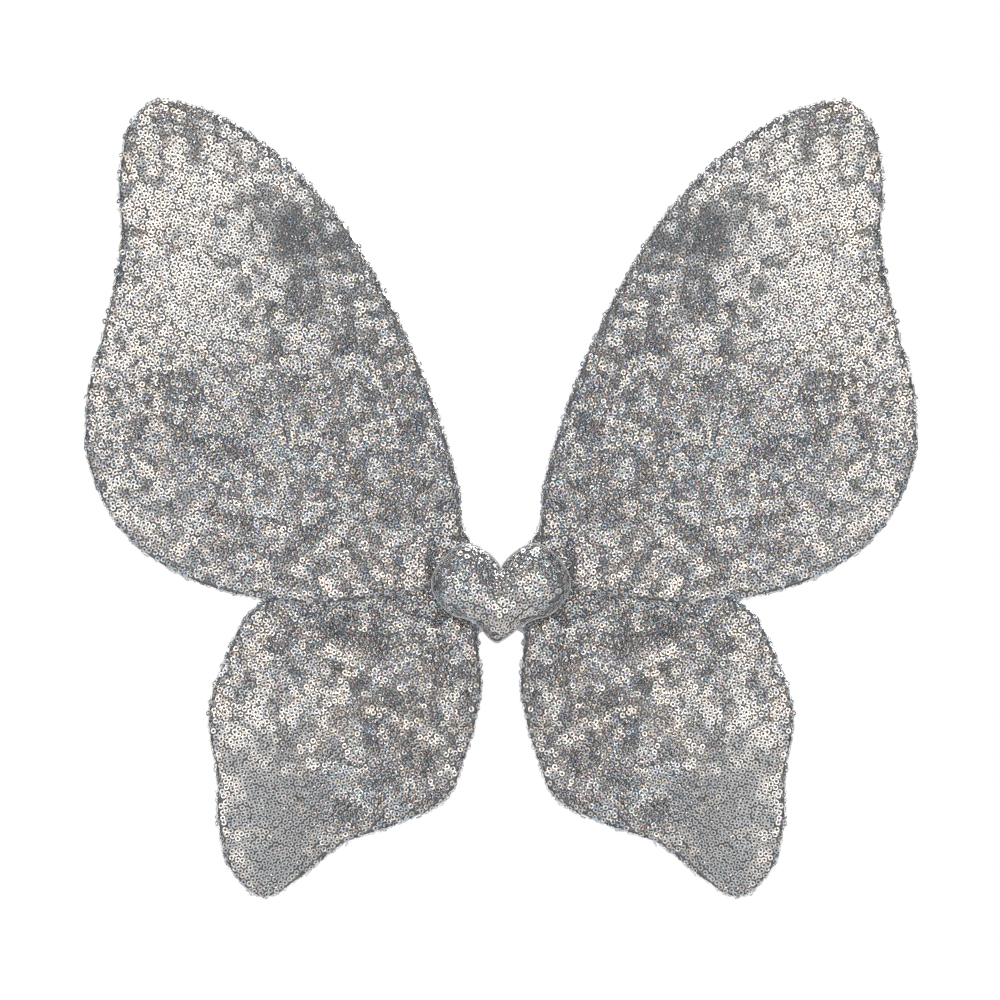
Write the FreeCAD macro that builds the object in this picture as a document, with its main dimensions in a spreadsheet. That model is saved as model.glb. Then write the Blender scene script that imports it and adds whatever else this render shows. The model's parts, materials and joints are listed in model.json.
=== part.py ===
"""Fairy wings: four padded lobes on wire rims, a padded heart and two elastic arm loops.

Millimetres. +Z is up as worn, +X is the right-hand wing seen from the sequined side, the sequined side
faces -Y and the wearer's back is on the +Y side. The origin is on the outer face of the back patch.
"""

import FreeCAD, Part

import math
import os

import Sketcher  # registers the sketch type
from FreeCAD import Vector

DOC = FreeCAD.newDocument("FairyWings")
SHEET = DOC.addObject("Spreadsheet::Sheet", "sizes")

SIZES = {
    # The wing lobes, seen from the front
    "upper_reach": 195.5,  # root edge to the outermost point
    "upper_rise": 250.5,  # lowest edge to the tip
    "upper_bottom": -6.0,
    "lower_reach": 134.5,
    "lower_drop": 158.0,
    "lower_top": 4.0,
    # The build of one lobe
    "sequin_cloth": 1.2,
    "lining_cloth": 0.8,
    "wire_dia": 2.0,
    "wire_gap": 0.4,  # between the ends of a rim wire, inside its ferrule
    "ferrule_wall": 0.7,
    "ferrule_length": 8.0,
    "ferrule_gap": 0.1,  # ferrule to the sequin cloth round it
    "rim_flat": 0.4,  # straight edge beside the rim's seam, which the rounding leaves
    "pad_gap": 0.3,  # ferrule to the wadding
    "layer_gap": 0.6,  # lower lobe to the upper lobe in front of it
    # The centre
    "root_gap": 1.5,  # block to the lobes' root edges
    "block_top": 9.0,
    "block_bottom": -15.0,
    "patch_thickness": 1.2,
    "patch_to_lobe": 3.5,  # patch face to the lower lobes' linings
    "block_front_gap": 0.4,  # upper lobes' front faces to the back of the heart
    # The heart
    "heart_width": 68.6,
    "heart_height": 49.0,
    "heart_tip": -26.0,
    "heart_dome": 14.0,
    "heart_back_dome": 4.0,
    # The arm loops
    "strap_width": 9.6,
    "strap_thickness": 1.2,
    "strap_spacing": 1.0,  # between the two straps' sewn ends
    "strap_margin": 0.4,  # strap to the side of the block
    "strap_splay": 30.0,
    "loop_depth": 116.0,
    "loop_height": 104.0,
    "loop_centre": -7.0,
    "loop_bend": 4.0,  # the small bend where a loop leaves the block
    "strap_end_length": 8.0,
    "strap_swing_gap": 0.5,
}

for row, (alias, value) in enumerate(SIZES.items(), start=1):
    SHEET.set(f"A{row}", alias)
    SHEET.set(f"B{row}", str(value))
    SHEET.setAlias(f"B{row}", alias)
DOC.recompute()


def size(alias):
    """The value of one cell of the sheet."""
    return float(getattr(SHEET, alias))


# Sizes that follow from those in the sheet, as expressions. The rim is thick enough for the ferrule
# inside it, and the block is wide enough for the two straps side by side.
FERRULE_RADIUS = "(sizes.wire_dia / 2 + sizes.ferrule_wall)"
HALF_RIM = f"(sizes.sequin_cloth + {FERRULE_RADIUS} + sizes.ferrule_gap)"
LOWER_Y = f"(-sizes.patch_to_lobe - {HALF_RIM})"
UPPER_Y = f"({LOWER_Y} - 2 * {HALF_RIM} - sizes.layer_gap)"
BLOCK_FRONT = f"({UPPER_Y} - {HALF_RIM} - sizes.block_front_gap)"
BLOCK_HEIGHT = "(sizes.block_top - sizes.block_bottom)"
STRAP_OFFSET = "(sizes.strap_width + sizes.strap_spacing) / 2"
BLOCK_HALF_WIDTH = "(sizes.strap_width + sizes.strap_spacing / 2 + sizes.strap_margin)"


def value_of(expression):
    """The value in millimetres of an expression on the sheet."""
    result = SHEET.evalExpression(expression)
    return float(getattr(result, "Value", result))


# The same, as numbers for the outlines that are drawn from them.
HEART_SEAM = value_of(BLOCK_FRONT) - size("heart_back_dome")
ROOT_EDGE = value_of(BLOCK_HALF_WIDTH) + size("root_gap")
WIRE_INSET = value_of(HALF_RIM)
PAD_INSET = WIRE_INSET + value_of(FERRULE_RADIUS) + size("pad_gap")

# Outlines. Each entry is (across, along, heading): percent of the reach and of the rise or drop, and
# the heading in degrees where the edge runs level or plumb, or None where its neighbours give it.
UP, LEFT, DOWN, RIGHT = 90.0, 180.0, 270.0, 0.0
UPPER_OUTLINE = [
    (0, 6.5, UP), (0, 10, UP), (3, 13.5, None), (5, 23.5, None), (12.5, 42.5, None), (23.5, 61.5, None),
    (39, 80, None), (54, 91, None), (70.5, 98.5, None), (81, 100, LEFT), (88, 96, None), (91, 87, None),
    (91, 71, None), (94.5, 56.5, None), (99.5, 41, None), (100, 32.5, DOWN), (96, 21, None),
    (88, 12, None), (75.5, 5.5, None), (57, 1, None), (41, 0, RIGHT), (25, 1, None), (11.5, 2.8, None),
    (5.5, 3, None),
]
LOWER_OUTLINE = [
    (0, 16.5, UP), (0, 7.5, UP), (9, 1, None), (40, 0, LEFT), (67.5, 2, None), (83.5, 9, None),
    (94, 24.5, None), (100, 44.5, DOWN), (97, 61.5, None), (96.5, 76.5, None), (91.5, 92, None),
    (79, 100, RIGHT), (67, 94.5, None), (50.5, 83.5, None), (28.5, 76.5, None), (11, 68.5, None),
    (5, 56.5, None), (1, 45.5, None), (-1.5, 31, UP),
]
# The left half of the heart, from its tip round to its notch: percent of the half width and height.
HEART_OUTLINE = [
    (0, 0, None), (22, 9, None), (36.5, 19.5, None), (79, 33.5, None), (100, 60, UP), (81.5, 86, None),
    (49.5, 100, RIGHT), (20.5, 91.5, None), (0, 74.5, None),
]
# One arm loop from its upper sewn end to its lower one: percent of the depth, and of half the height
# from the loop's centre line.
LOOP_OUTLINE = [
    (20, 46, None), (57, 100, RIGHT), (90, 62, None), (100, 0, DOWN), (88, -64, None),
    (54, -100, LEFT), (20, -33, None),
]


def heading(angle):
    """The unit vector at an angle in degrees."""
    return Vector(math.cos(math.radians(angle)), math.sin(math.radians(angle)), 0)


def through(before, here, after):
    """The heading at a point of the circle through it and its two neighbours."""
    first, second = here - before, after - here
    return (first / first.Length * second.Length + second / second.Length * first.Length).normalize()


def with_headings(points, headings, closed):
    """Pairs of point and heading. The ends of an open line take the arc of the next stretch."""
    count = len(points)
    found = list(headings)
    for i in range(count):
        if found[i] is None and (closed or 0 < i < count - 1):
            found[i] = through(points[i - 1], points[i], points[(i + 1) % count])
    for end, beside in ((0, 1), (count - 1, count - 2)):
        if found[end] is None:
            chord = (points[end] - points[beside]).normalize()
            found[end] = chord * (2 * chord.dot(found[beside])) - found[beside]
    return list(zip(points, found))


def with_joints(pairs, closed):
    """The same pairs with a joint between each two, so that an arc reaches from each to the next."""
    result = []
    for i in range(len(pairs) if closed else len(pairs) - 1):
        start, leaving = pairs[i]
        end, arriving = pairs[(i + 1) % len(pairs)]
        result.append((start, leaving))
        chord = end - start
        turned = 2 * (1 - leaving.dot(arriving))
        forward = chord.dot(leaving + arriving)
        if turned < 1e-9:
            if leaving.cross(chord).Length < 1e-9:
                continue  # a straight stretch
            arm = chord.dot(chord) / (4 * chord.dot(arriving))
        else:
            arm = (math.sqrt(forward**2 + turned * chord.dot(chord)) - forward) / turned
        joint = (start + end + (leaving - arriving) * arm) * 0.5
        toward = (joint - start).normalize()
        result.append((joint, toward * (2 * toward.dot(leaving)) - leaving))
    if not closed:
        result.append(pairs[-1])
    return result


def moved_in(pairs, inset):
    """The pairs moved to the left of their headings, which is into a lobe."""
    return [(point + Vector(-way.y, way.x, 0) * inset, way) for point, way in pairs]


def edges_along(pairs, closed, side=1):
    """Arcs and straight lines from each pair to the next, mirrored in X where side is -1."""

    def place(v):
        return Vector(v.x * side, v.y, 0)

    edges = []
    for i in range(len(pairs) if closed else len(pairs) - 1):
        start, leaving = pairs[i]
        end = pairs[(i + 1) % len(pairs)][0]
        chord = end - start
        along = leaving.dot(chord)
        off = leaving - chord * (along / chord.dot(chord))
        if off.Length < 1e-7:
            edges.append(Part.LineSegment(place(start), place(end)))
            continue
        half_turn = math.atan2(off.Length, along / chord.Length)
        bulge = off.normalize() * (chord.Length / 2 * math.tan(half_turn / 2))
        edges.append(Part.Arc(place(start), place((start + end) * 0.5 + bulge), place(end)))
    return edges


def lobe_pairs(outline, reach, height, base, direction):
    """The outline of a left-hand lobe in millimetres, as pairs with joints."""
    points = [
        Vector(-ROOT_EDGE - across / 100 * reach, base + direction * along / 100 * height, 0)
        for across, along, _ in outline
    ]
    headings = [None if angle is None else heading(angle) for _, _, angle in outline]
    return with_joints(with_headings(points, headings, True), True)


UPPER_PAIRS = lobe_pairs(UPPER_OUTLINE, size("upper_reach"), size("upper_rise"), size("upper_bottom"), 1)
LOWER_PAIRS = lobe_pairs(LOWER_OUTLINE, size("lower_reach"), size("lower_drop"), size("lower_top"), -1)


def plane_of(body, role):
    """One of a body's own origin planes."""
    return next(f for f in body.Origin.OriginFeatures if f.Role == role)


def add_sketch(body, name, role, loops):
    """A sketch of closed loops on one of the body's origin planes."""
    sketch = body.newObject("Sketcher::SketchObject", name)
    sketch.AttachmentSupport = (plane_of(body, role), [""])
    sketch.MapMode = "FlatFace"
    for loop in loops:
        first = sketch.GeometryCount
        sketch.addGeometry(loop, False)
        last = sketch.GeometryCount - 1
        for i in range(first, last + 1):
            sketch.addConstraint(Sketcher.Constraint("Block", i))
    return sketch


def add_pad(body, name, sketch, length, reverse=False, midplane=False):
    """A pad whose length is an expression."""
    pad = body.newObject("PartDesign::Pad", name)
    pad.Profile = sketch
    pad.Reversed = reverse
    pad.SideType = "Symmetric" if midplane else "One side"
    pad.setExpression("Length", length)
    DOC.recompute()
    return pad


def add_round(body, name, base, level, radius):
    """Rounds every edge of a feature that lies in the plane at one Y level."""
    names = [
        f"Edge{i}"
        for i, edge in enumerate(base.Shape.Edges, start=1)
        if abs(edge.BoundBox.YMin - level) < 1e-4 and abs(edge.BoundBox.YMax - level) < 1e-4
    ]
    fillet = body.newObject("PartDesign::Fillet", name)
    fillet.Base = (base, names)
    fillet.setExpression("Radius", radius)
    DOC.recompute()
    return fillet


def place_body(body, level):
    """Moves a body to its level along Y, given as an expression."""
    body.setExpression("Placement.Base.y", level)


def make_cover(label, pairs, side, level, cloth, front):
    """Half of a lobe's cloth cover: a tray whose rim is rounded and meets the other half at the seam.

    The hollow is cut and rounded before the rim is, because its square corners would break through.
    """
    thickness = size(cloth)
    outward = -1 if front else 1
    body = DOC.addObject("PartDesign::Body", label)
    outer = add_sketch(body, f"{label}_outer", "XZ_Plane", [edges_along(pairs, True, side)])
    add_pad(body, f"{label}_pad", outer, HALF_RIM, reverse=not front)
    before = body.Shape.Volume
    inner = add_sketch(
        body, f"{label}_inner", "XZ_Plane", [edges_along(moved_in(pairs, thickness), True, side)]
    )
    pocket = body.newObject("PartDesign::Pocket", f"{label}_pocket")
    pocket.Profile = inner
    pocket.Reversed = front
    pocket.setExpression("Length", f"{HALF_RIM} - sizes.{cloth}")
    DOC.recompute()
    if body.Shape.Volume > before * 0.6:
        raise RuntimeError(f"{label}: the hollow wasn't cut")
    floor = outward * (WIRE_INSET - thickness)
    hollow = add_round(
        body, f"{label}_inner_round", pocket, floor, f"{HALF_RIM} - sizes.rim_flat - sizes.{cloth}"
    )
    add_round(body, f"{label}_rim", hollow, outward * WIRE_INSET, f"{HALF_RIM} - sizes.rim_flat")
    place_body(body, level)
    return body


def make_pad(label, pairs, side, level):
    """The wadding between a lobe's covers, inside its wire."""
    body = DOC.addObject("PartDesign::Body", label)
    sketch = add_sketch(
        body, f"{label}_outline", "XZ_Plane", [edges_along(moved_in(pairs, PAD_INSET), True, side)]
    )
    add_pad(body, f"{label}_body", sketch, f"2 * {HALF_RIM} - sizes.sequin_cloth - sizes.lining_cloth")
    body.setExpression("Placement.Base.y", f"{level} + {HALF_RIM} - sizes.lining_cloth")
    return body


def make_wire(label, pairs, side, level):
    """A lobe's rim wire. Its two ends meet inside the ferrule, halfway up the straight root."""
    inner = moved_in(pairs, WIRE_INSET)
    (bottom, way), (top, _) = inner[0], inner[1]
    middle, half_gap = (bottom + top) * 0.5, way * (size("wire_gap") / 2)
    path = [(middle + half_gap, way)] + inner[1:] + [(bottom, way), (middle - half_gap, way)]
    body = DOC.addObject("PartDesign::Body", label)
    spine = add_sketch(body, f"{label}_path", "XZ_Plane", [edges_along(path, False, side)])
    section = body.newObject("Sketcher::SketchObject", f"{label}_section")
    section.AttachmentSupport = (plane_of(body, "XY_Plane"), [""])
    section.MapMode = "FlatFace"
    start = path[0][0]
    section.AttachmentOffset = FreeCAD.Placement(Vector(0, 0, start.y), FreeCAD.Rotation())
    section.addGeometry(Part.Circle(Vector(start.x * side, 0, 0), Vector(0, 0, 1), size("wire_dia") / 2))
    section.addConstraint(Sketcher.Constraint("Diameter", 0, size("wire_dia")))
    section.setExpression("Constraints[0]", "sizes.wire_dia")
    DOC.recompute()
    pipe = body.newObject("PartDesign::AdditivePipe", f"{label}_sweep")
    pipe.Profile = section
    pipe.Spine = (spine, [f"Edge{i + 1}" for i in range(spine.GeometryCount)])
    DOC.recompute()
    place_body(body, level)
    return body, middle


def make_ferrule(label, middle, side, level):
    """The crimped sleeve that joins a rim wire's ends."""
    parts = []
    for name, radius in (("sleeve", FERRULE_RADIUS), ("bore", "sizes.wire_dia / 2")):
        cylinder = DOC.addObject("Part::Cylinder", f"{label}_{name}")
        cylinder.setExpression("Radius", radius)
        cylinder.setExpression("Height", "sizes.ferrule_length")
        cylinder.Placement.Base = Vector(middle.x * side, 0, middle.y)
        cylinder.setExpression("Placement.Base.y", level)
        cylinder.setExpression("Placement.Base.z", f"{middle.y:.6f} - sizes.ferrule_length / 2")
        parts.append(cylinder)
    ferrule = DOC.addObject("Part::Cut", label)
    ferrule.Base, ferrule.Tool = parts
    return ferrule


def make_lobe(side_name, side, name, pairs, level):
    """The five pieces of one lobe."""
    prefix = f"{side_name}_{name}"
    wire, middle = make_wire(f"{prefix}_rim_wire", pairs, side, level)
    return [
        make_cover(f"{prefix}_sequin_cover", pairs, side, level, "sequin_cloth", True),
        make_cover(f"{prefix}_lining", pairs, side, level, "lining_cloth", False),
        make_pad(f"{prefix}_wadding", pairs, side, level),
        wire,
        make_ferrule(f"{prefix}_ferrule", middle, side, level),
    ]


def heart_loop(scale):
    """The heart's outline drawn at a scale about the middle of its height, as edges."""
    half, height, tip = size("heart_width") / 2, size("heart_height"), size("heart_tip")
    centre = Vector(0, tip + height / 2, 0)
    drawn = [
        Vector(-across / 100 * half, tip + along / 100 * height, 0) for across, along, _ in HEART_OUTLINE
    ]
    points = [centre + (point - centre) * scale for point in drawn]
    headings = [None if angle is None else heading(angle) for _, _, angle in HEART_OUTLINE]
    pairs = with_joints(with_headings(points, headings, False), False)
    left = edges_along(pairs, False)
    right = edges_along(pairs, False, -1)
    return left + right


DOME_STEPS = [0.0, 0.25, 0.5, 0.75, 0.93]  # share of the dome's height at each of its sections


def make_dome(name, height, inset, outward):
    """A solid dome on the heart's outline, rising to the height along -Y or +Y from the seam."""
    half = size("heart_width") / 2
    full = (half - inset) / half
    sections = []
    for i, step in enumerate(DOME_STEPS):
        sketch = DOC.addObject("Sketcher::SketchObject", f"{name}_section{i}")
        level = HEART_SEAM + outward * height * step
        sketch.Placement = FreeCAD.Placement(Vector(0, level, 0), FreeCAD.Rotation(Vector(1, 0, 0), 90))
        sketch.addGeometry(heart_loop(full * math.sqrt(1 - step**2)), False)
        sections.append(sketch)
    dome = DOC.addObject("Part::Loft", name)
    dome.Sections = sections
    dome.Solid = True
    dome.Ruled = True
    return dome


def make_heart():
    """The heart's two covers and its filling."""
    pieces = []
    fillings = []
    for label, dome, cloth, outward in (
        ("heart_sequin_cover", "heart_dome", "sequin_cloth", -1),
        ("heart_back_cover", "heart_back_dome", "lining_cloth", 1),
    ):
        outer = make_dome(f"{label}_outside", size(dome), 0, outward)
        inner = make_dome(f"{label}_inside", size(dome) - size(cloth), size("sequin_cloth"), outward)
        cover = DOC.addObject("Part::Cut", label)
        cover.Base, cover.Tool = outer, inner
        pieces.append(cover)
        fillings.append(inner)
    filling = DOC.addObject("Part::Fuse", "heart_filling")
    filling.Base, filling.Tool = fillings
    return [*pieces, filling]


def add_box(label, lengths, base):
    """A box whose lengths and place are expressions."""
    box = DOC.addObject("Part::Box", label)
    for key, expression in zip(("Length", "Width", "Height"), lengths):
        box.setExpression(key, expression)
    for key, expression in zip("xyz", base):
        box.setExpression(f"Placement.Base.{key}", expression)
    return box


def make_centre():
    """The block that the lobes and the heart are sewn to, its back patch and the straps' sewn ends."""
    whole = add_box(
        "centre_block_whole",
        (f"2 * {BLOCK_HALF_WIDTH}", f"-{BLOCK_FRONT} - sizes.patch_thickness", BLOCK_HEIGHT),
        (f"-{BLOCK_HALF_WIDTH}", BLOCK_FRONT, "sizes.block_bottom"),
    )
    patch = add_box(
        "back_patch",
        (f"2 * {BLOCK_HALF_WIDTH}", "sizes.patch_thickness", BLOCK_HEIGHT),
        (f"-{BLOCK_HALF_WIDTH}", "-sizes.patch_thickness", "sizes.block_bottom"),
    )
    pieces = [patch]
    slots = []
    for side_name, side in SIDES:
        ends = []
        lows = {"top": "sizes.block_top - sizes.strap_end_length", "bottom": "sizes.block_bottom"}
        for name, low in lows.items():
            for kind in ("end", "slot"):
                box = add_box(
                    f"{side_name}_strap_{name}_{kind}",
                    ("sizes.strap_width", "sizes.strap_thickness", "sizes.strap_end_length"),
                    (
                        f"{side} * {STRAP_OFFSET} - sizes.strap_width / 2",
                        "-(sizes.patch_thickness + sizes.strap_thickness)",
                        low,
                    ),
                )
                (ends if kind == "end" else slots).append(box)
        group = DOC.addObject("Part::Compound", f"{side_name}_strap_ends")
        group.Links = ends
        pieces.append(group)
    cutter = DOC.addObject("Part::Compound", "strap_slots")
    cutter.Links = slots
    block = DOC.addObject("Part::Cut", "centre_block")
    block.Base, block.Tool = whole, cutter
    return [*pieces, block]


def make_strap(side_name, side):
    """One elastic arm loop, a flat band that stands behind the block and leans outwards."""
    depth, half, centre = size("loop_depth"), size("loop_height") / 2, size("loop_centre")
    bend = size("loop_bend")
    top = size("block_top") + size("strap_swing_gap")
    bottom = size("block_bottom") - size("strap_swing_gap")
    points = [Vector(0, top, 0), Vector(bend, top + bend, 0)]
    points += [
        Vector(across / 100 * depth, centre + along / 100 * half, 0) for across, along, _ in LOOP_OUTLINE
    ]
    points += [Vector(bend, bottom - bend, 0), Vector(0, bottom, 0)]
    angles = [UP, RIGHT] + [angle for _, _, angle in LOOP_OUTLINE] + [LEFT, UP]
    headings = [None if angle is None else heading(angle) for angle in angles]
    pairs = with_joints(with_headings(points, headings, False), False)
    half_band = size("strap_thickness") / 2
    inside, outside = moved_in(pairs, -half_band), moved_in(pairs, half_band)
    profile = edges_along(inside, False) + edges_along(outside, False)
    profile += [Part.LineSegment(inside[i][0], outside[i][0]) for i in (0, -1)]
    label = f"{side_name}_strap"
    body = DOC.addObject("PartDesign::Body", label)
    sketch = add_sketch(body, f"{label}_profile", "YZ_Plane", [profile])
    add_pad(body, f"{label}_band", sketch, "sizes.strap_width", midplane=True)
    body.Placement.Rotation = FreeCAD.Rotation(Vector(0, 0, 1), size("strap_splay"))
    body.setExpression("Placement.Base.x", f"{side} * {STRAP_OFFSET}")
    body.setExpression("Placement.Base.y", "-(sizes.patch_thickness + sizes.strap_thickness / 2)")
    body.setExpression("Placement.Rotation.Angle", f"{-side} * sizes.strap_splay")
    return body


SIDES = (("left", -1), ("right", 1))

NODES = []
for side_name, side in SIDES:
    mirror = -side  # the outlines are drawn for the left
    NODES += make_lobe(side_name, mirror, "upper", UPPER_PAIRS, UPPER_Y)
    NODES += make_lobe(side_name, mirror, "lower", LOWER_PAIRS, LOWER_Y)
    NODES.append(make_strap(side_name, side))
NODES += make_heart()
NODES += make_centre()

DOC.recompute()

for item in DOC.Objects:
    if {"Invalid", "Error"} & set(item.State):
        raise RuntimeError(f"{item.Name} failed: {item.State}")
for node in NODES:
    if node.Shape.isNull() or not node.Shape.isValid() or node.Shape.Volume <= 0:
        raise RuntimeError(f"{node.Name} has no valid solid")

os.makedirs("parts", exist_ok=True)
for node in NODES:
    node.Shape.exportStep(os.path.join("parts", f"{node.Label}.step"))
    print(f"{node.Label}: {node.Shape.Volume / 1000:.2f} cm3, {len(node.Shape.Solids)} solid(s)")
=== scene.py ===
"""Fairy wings dressed on their CAD frame: four sequinned lobes, a padded heart and two elastic arm loops.

Metres. +X is the right-hand wing seen from the sequined side, which faces -Y; the wearer is on the +Y side.
"""

import json
import logging
import math
from collections.abc import Callable, Sequence
from dataclasses import dataclass, field
from enum import Enum
from functools import partial

import bmesh
import bpy
import numpy as np
from mathutils import Matrix, Vector, noise
from mathutils.bvhtree import BVHTree
from mathutils.geometry import delaunay_2d_cdt
from mathutils.kdtree import KDTree

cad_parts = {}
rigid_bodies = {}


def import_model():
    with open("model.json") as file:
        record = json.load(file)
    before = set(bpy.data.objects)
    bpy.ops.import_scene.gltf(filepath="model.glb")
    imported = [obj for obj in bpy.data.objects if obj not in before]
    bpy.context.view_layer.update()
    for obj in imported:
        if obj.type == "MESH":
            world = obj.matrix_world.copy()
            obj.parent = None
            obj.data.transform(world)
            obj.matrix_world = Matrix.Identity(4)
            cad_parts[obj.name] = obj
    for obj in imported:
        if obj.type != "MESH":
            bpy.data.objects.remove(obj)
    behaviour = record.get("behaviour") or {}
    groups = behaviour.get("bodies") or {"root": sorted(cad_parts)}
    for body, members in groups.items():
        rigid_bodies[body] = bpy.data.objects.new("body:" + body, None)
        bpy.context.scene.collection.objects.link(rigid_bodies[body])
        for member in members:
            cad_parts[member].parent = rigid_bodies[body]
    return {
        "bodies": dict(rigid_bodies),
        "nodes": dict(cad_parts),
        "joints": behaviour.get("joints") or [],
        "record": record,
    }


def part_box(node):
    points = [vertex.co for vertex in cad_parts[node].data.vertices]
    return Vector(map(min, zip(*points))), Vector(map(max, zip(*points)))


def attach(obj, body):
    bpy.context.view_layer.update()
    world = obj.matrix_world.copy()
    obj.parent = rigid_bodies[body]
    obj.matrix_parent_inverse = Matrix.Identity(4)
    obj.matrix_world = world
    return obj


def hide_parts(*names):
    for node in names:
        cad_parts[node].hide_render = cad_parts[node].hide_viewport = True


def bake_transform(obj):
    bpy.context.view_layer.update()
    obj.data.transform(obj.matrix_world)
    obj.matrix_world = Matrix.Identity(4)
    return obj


log = logging.getLogger("fairy_wings")

MM = 0.001
SEED = 7
HINGE_OUT = 15 * MM
WELD = 0.002 * MM
LEVEL = 0.01 * MM
ROW_RISE = 0.866
BANDS_PER_UNIT = 3.2
LEAN_TOGETHER = (0.17, 0, -0.36)

MATH = "ShaderNodeMath"
VECTOR_MATH = "ShaderNodeVectorMath"
COORDINATES = "ShaderNodeTexCoord"
RAMP = "ShaderNodeValToRGB"
SEPARATE = "ShaderNodeSeparateXYZ"
COMBINE = "ShaderNodeCombineXYZ"
VORONOI = "ShaderNodeTexVoronoi"
NOISE = "ShaderNodeTexNoise"
WAVE = "ShaderNodeTexWave"
MIX = "ShaderNodeMix"
MAPPING = "ShaderNodeMapping"
BUMP = "ShaderNodeBump"
POSITION = "GeometryNodeInputPosition"
MOVE = "GeometryNodeSetPosition"
STORE = "GeometryNodeStoreNamedAttribute"
READ = "GeometryNodeInputNamedAttribute"
DELETE = "GeometryNodeDeleteGeometry"
RANDOM = "FunctionNodeRandomValue"


class Side(Enum):
    """The two halves of the object, by the sign of X."""

    LEFT = -1
    RIGHT = 1

    @property
    def label(self) -> str:
        """The name that the CAD nodes and bodies of this side start with."""
        return self.name.lower()


class Face(Enum):
    """The two faces of a pad, by the sign of Y."""

    FRONT = -1
    BACK = 1


# ---------------------------------------------------------------------------------------------------
# Small helpers
# ---------------------------------------------------------------------------------------------------


def colour(code: str) -> tuple[float, float, float, float]:
    """Turns an sRGB hex colour to the linear values that a shader takes.

    Args:
        code: Six hex digits, such as "A0A0A0".

    Returns:
        Red, green, blue and an alpha of one.
    """
    channels = [int(code[i : i + 2], 16) / 255 for i in (0, 2, 4)]
    linear = [c / 12.92 if c <= 0.04045 else ((c + 0.055) / 1.055) ** 2.4 for c in channels]
    return (*linear, 1.0)


def smooth(low: float, high: float, value: float) -> float:
    """A smooth step from 0 at low to 1 at high."""
    t = min(max((value - low) / (high - low), 0.0), 1.0)
    return t * t * (3 - 2 * t)


def add_node(
    tree: bpy.types.NodeTree,
    kind: str,
    *values: object,
    inputs: dict[str | int, object] | None = None,
    out: str | int = 0,
    ramp: Sequence[tuple[float, str]] = (),
    **settings: object,
) -> bpy.types.NodeSocket | None:
    """Adds a node with its settings and links.

    Args:
        tree: The tree that the node joins.
        kind: The node's type name.
        *values: What its first inputs take, each a value or the output that feeds it.
        inputs: The same for its other inputs, by name or number.
        out: The name or number of the output to return.
        ramp: A colour ramp's stops, each a position and a hex colour.
        **settings: The node's own properties.

    Returns:
        One output of the new node, or None if it has no outputs.
    """
    node = tree.nodes.new(kind)
    for key, value in settings.items():
        setattr(node, key, value)
    if ramp:
        elements = node.color_ramp.elements
        for i in (0, -1):
            elements[i].position, elements[i].color = ramp[i][0], colour(ramp[i][1])
        for position, code in ramp[1:-1]:
            elements.new(position).color = colour(code)
    for key, value in (dict(enumerate(values)) | (inputs or {})).items():
        if isinstance(value, bpy.types.NodeSocket):
            tree.links.new(value, node.inputs[key])
        else:
            node.inputs[key].default_value = value
    return node.outputs[out] if node.outputs else None


def new_object(name: str, mesh: bpy.types.Mesh) -> bpy.types.Object:
    """Links a mesh to the scene as a new object at the origin.

    Args:
        name: The object's name.
        mesh: Its mesh.

    Returns:
        The new object.
    """
    piece = bpy.data.objects.new(name, mesh)
    bpy.context.scene.collection.objects.link(piece)
    return piece


def plain_mesh(piece: bpy.types.Object) -> bpy.types.Mesh:
    """The mesh that a piece's modifiers make, with no modifier left on it.

    Args:
        piece: The piece.

    Returns:
        A new mesh.
    """
    graph = bpy.context.evaluated_depsgraph_get()
    source = piece.evaluated_get(graph)
    return bpy.data.meshes.new_from_object(source, preserve_all_data_layers=True, depsgraph=graph)


def apply_modifiers(piece: bpy.types.Object) -> bpy.types.Object:
    """Turns a piece and its modifiers into a plain mesh.

    Args:
        piece: The piece.

    Returns:
        The same piece.
    """
    made = plain_mesh(piece)
    piece.modifiers.clear()
    piece.data = made
    return piece


def shade_smooth(mesh: bpy.types.Mesh) -> None:
    """Shades every face of a mesh smooth."""
    mesh.polygons.foreach_set("use_smooth", [True] * len(mesh.polygons))
    mesh.update()


def mirrored(piece: bpy.types.Object, name: str) -> bpy.types.Object:
    """A copy of a left-hand piece for the right-hand side, with its faces outwards.

    Args:
        piece: The left-hand piece.
        name: The copy's name.

    Returns:
        The copy.
    """
    mesh = piece.data.copy()
    mesh.transform(Matrix.Scale(-1, 4, Vector((1, 0, 0))))
    mesh.flip_normals()
    return new_object(name, mesh)


def settle(piece: bpy.types.Object, body: str, nodes: Sequence[str] = ()) -> bpy.types.Object:
    """Puts a finished piece on its body.

    Args:
        piece: The piece, in place.
        body: The CAD body that carries it.
        nodes: The CAD nodes that it stands for.

    Returns:
        The same piece.
    """
    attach(piece, body)
    if nodes:
        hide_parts(*nodes)
    log.info("%s: %d faces, rides on %s", piece.name, len(piece.data.polygons), body)
    return piece


# ---------------------------------------------------------------------------------------------------
# Finishes
# ---------------------------------------------------------------------------------------------------


@dataclass(frozen=True)
class Finish:
    """A surface finish, whose sizes are in metres."""

    name: str = "finish"

    def material(self, fill: Callable[[bpy.types.NodeTree], dict]) -> bpy.types.Material:
        """Makes the material round what feeds its shader.

        Args:
            fill: Adds the finish's patterns to the tree, and returns the shader's inputs by name.

        Returns:
            The material.
        """
        made = bpy.data.materials.new(self.name)
        made.use_nodes = True
        tree = made.node_tree
        tree.nodes.clear()
        shaded = add_node(tree, "ShaderNodeBsdfPrincipled", inputs=fill(tree))
        add_node(tree, "ShaderNodeOutputMaterial", shaded)
        return made

    def build(self) -> bpy.types.Material:
        """Makes the material from this finish's own patterns."""
        return self.material(self.patterns)

    def patterns(self, tree: bpy.types.NodeTree) -> dict:
        """Adds the finish's patterns to a tree, and returns the shader's inputs by name."""
        raise NotImplementedError


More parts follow.
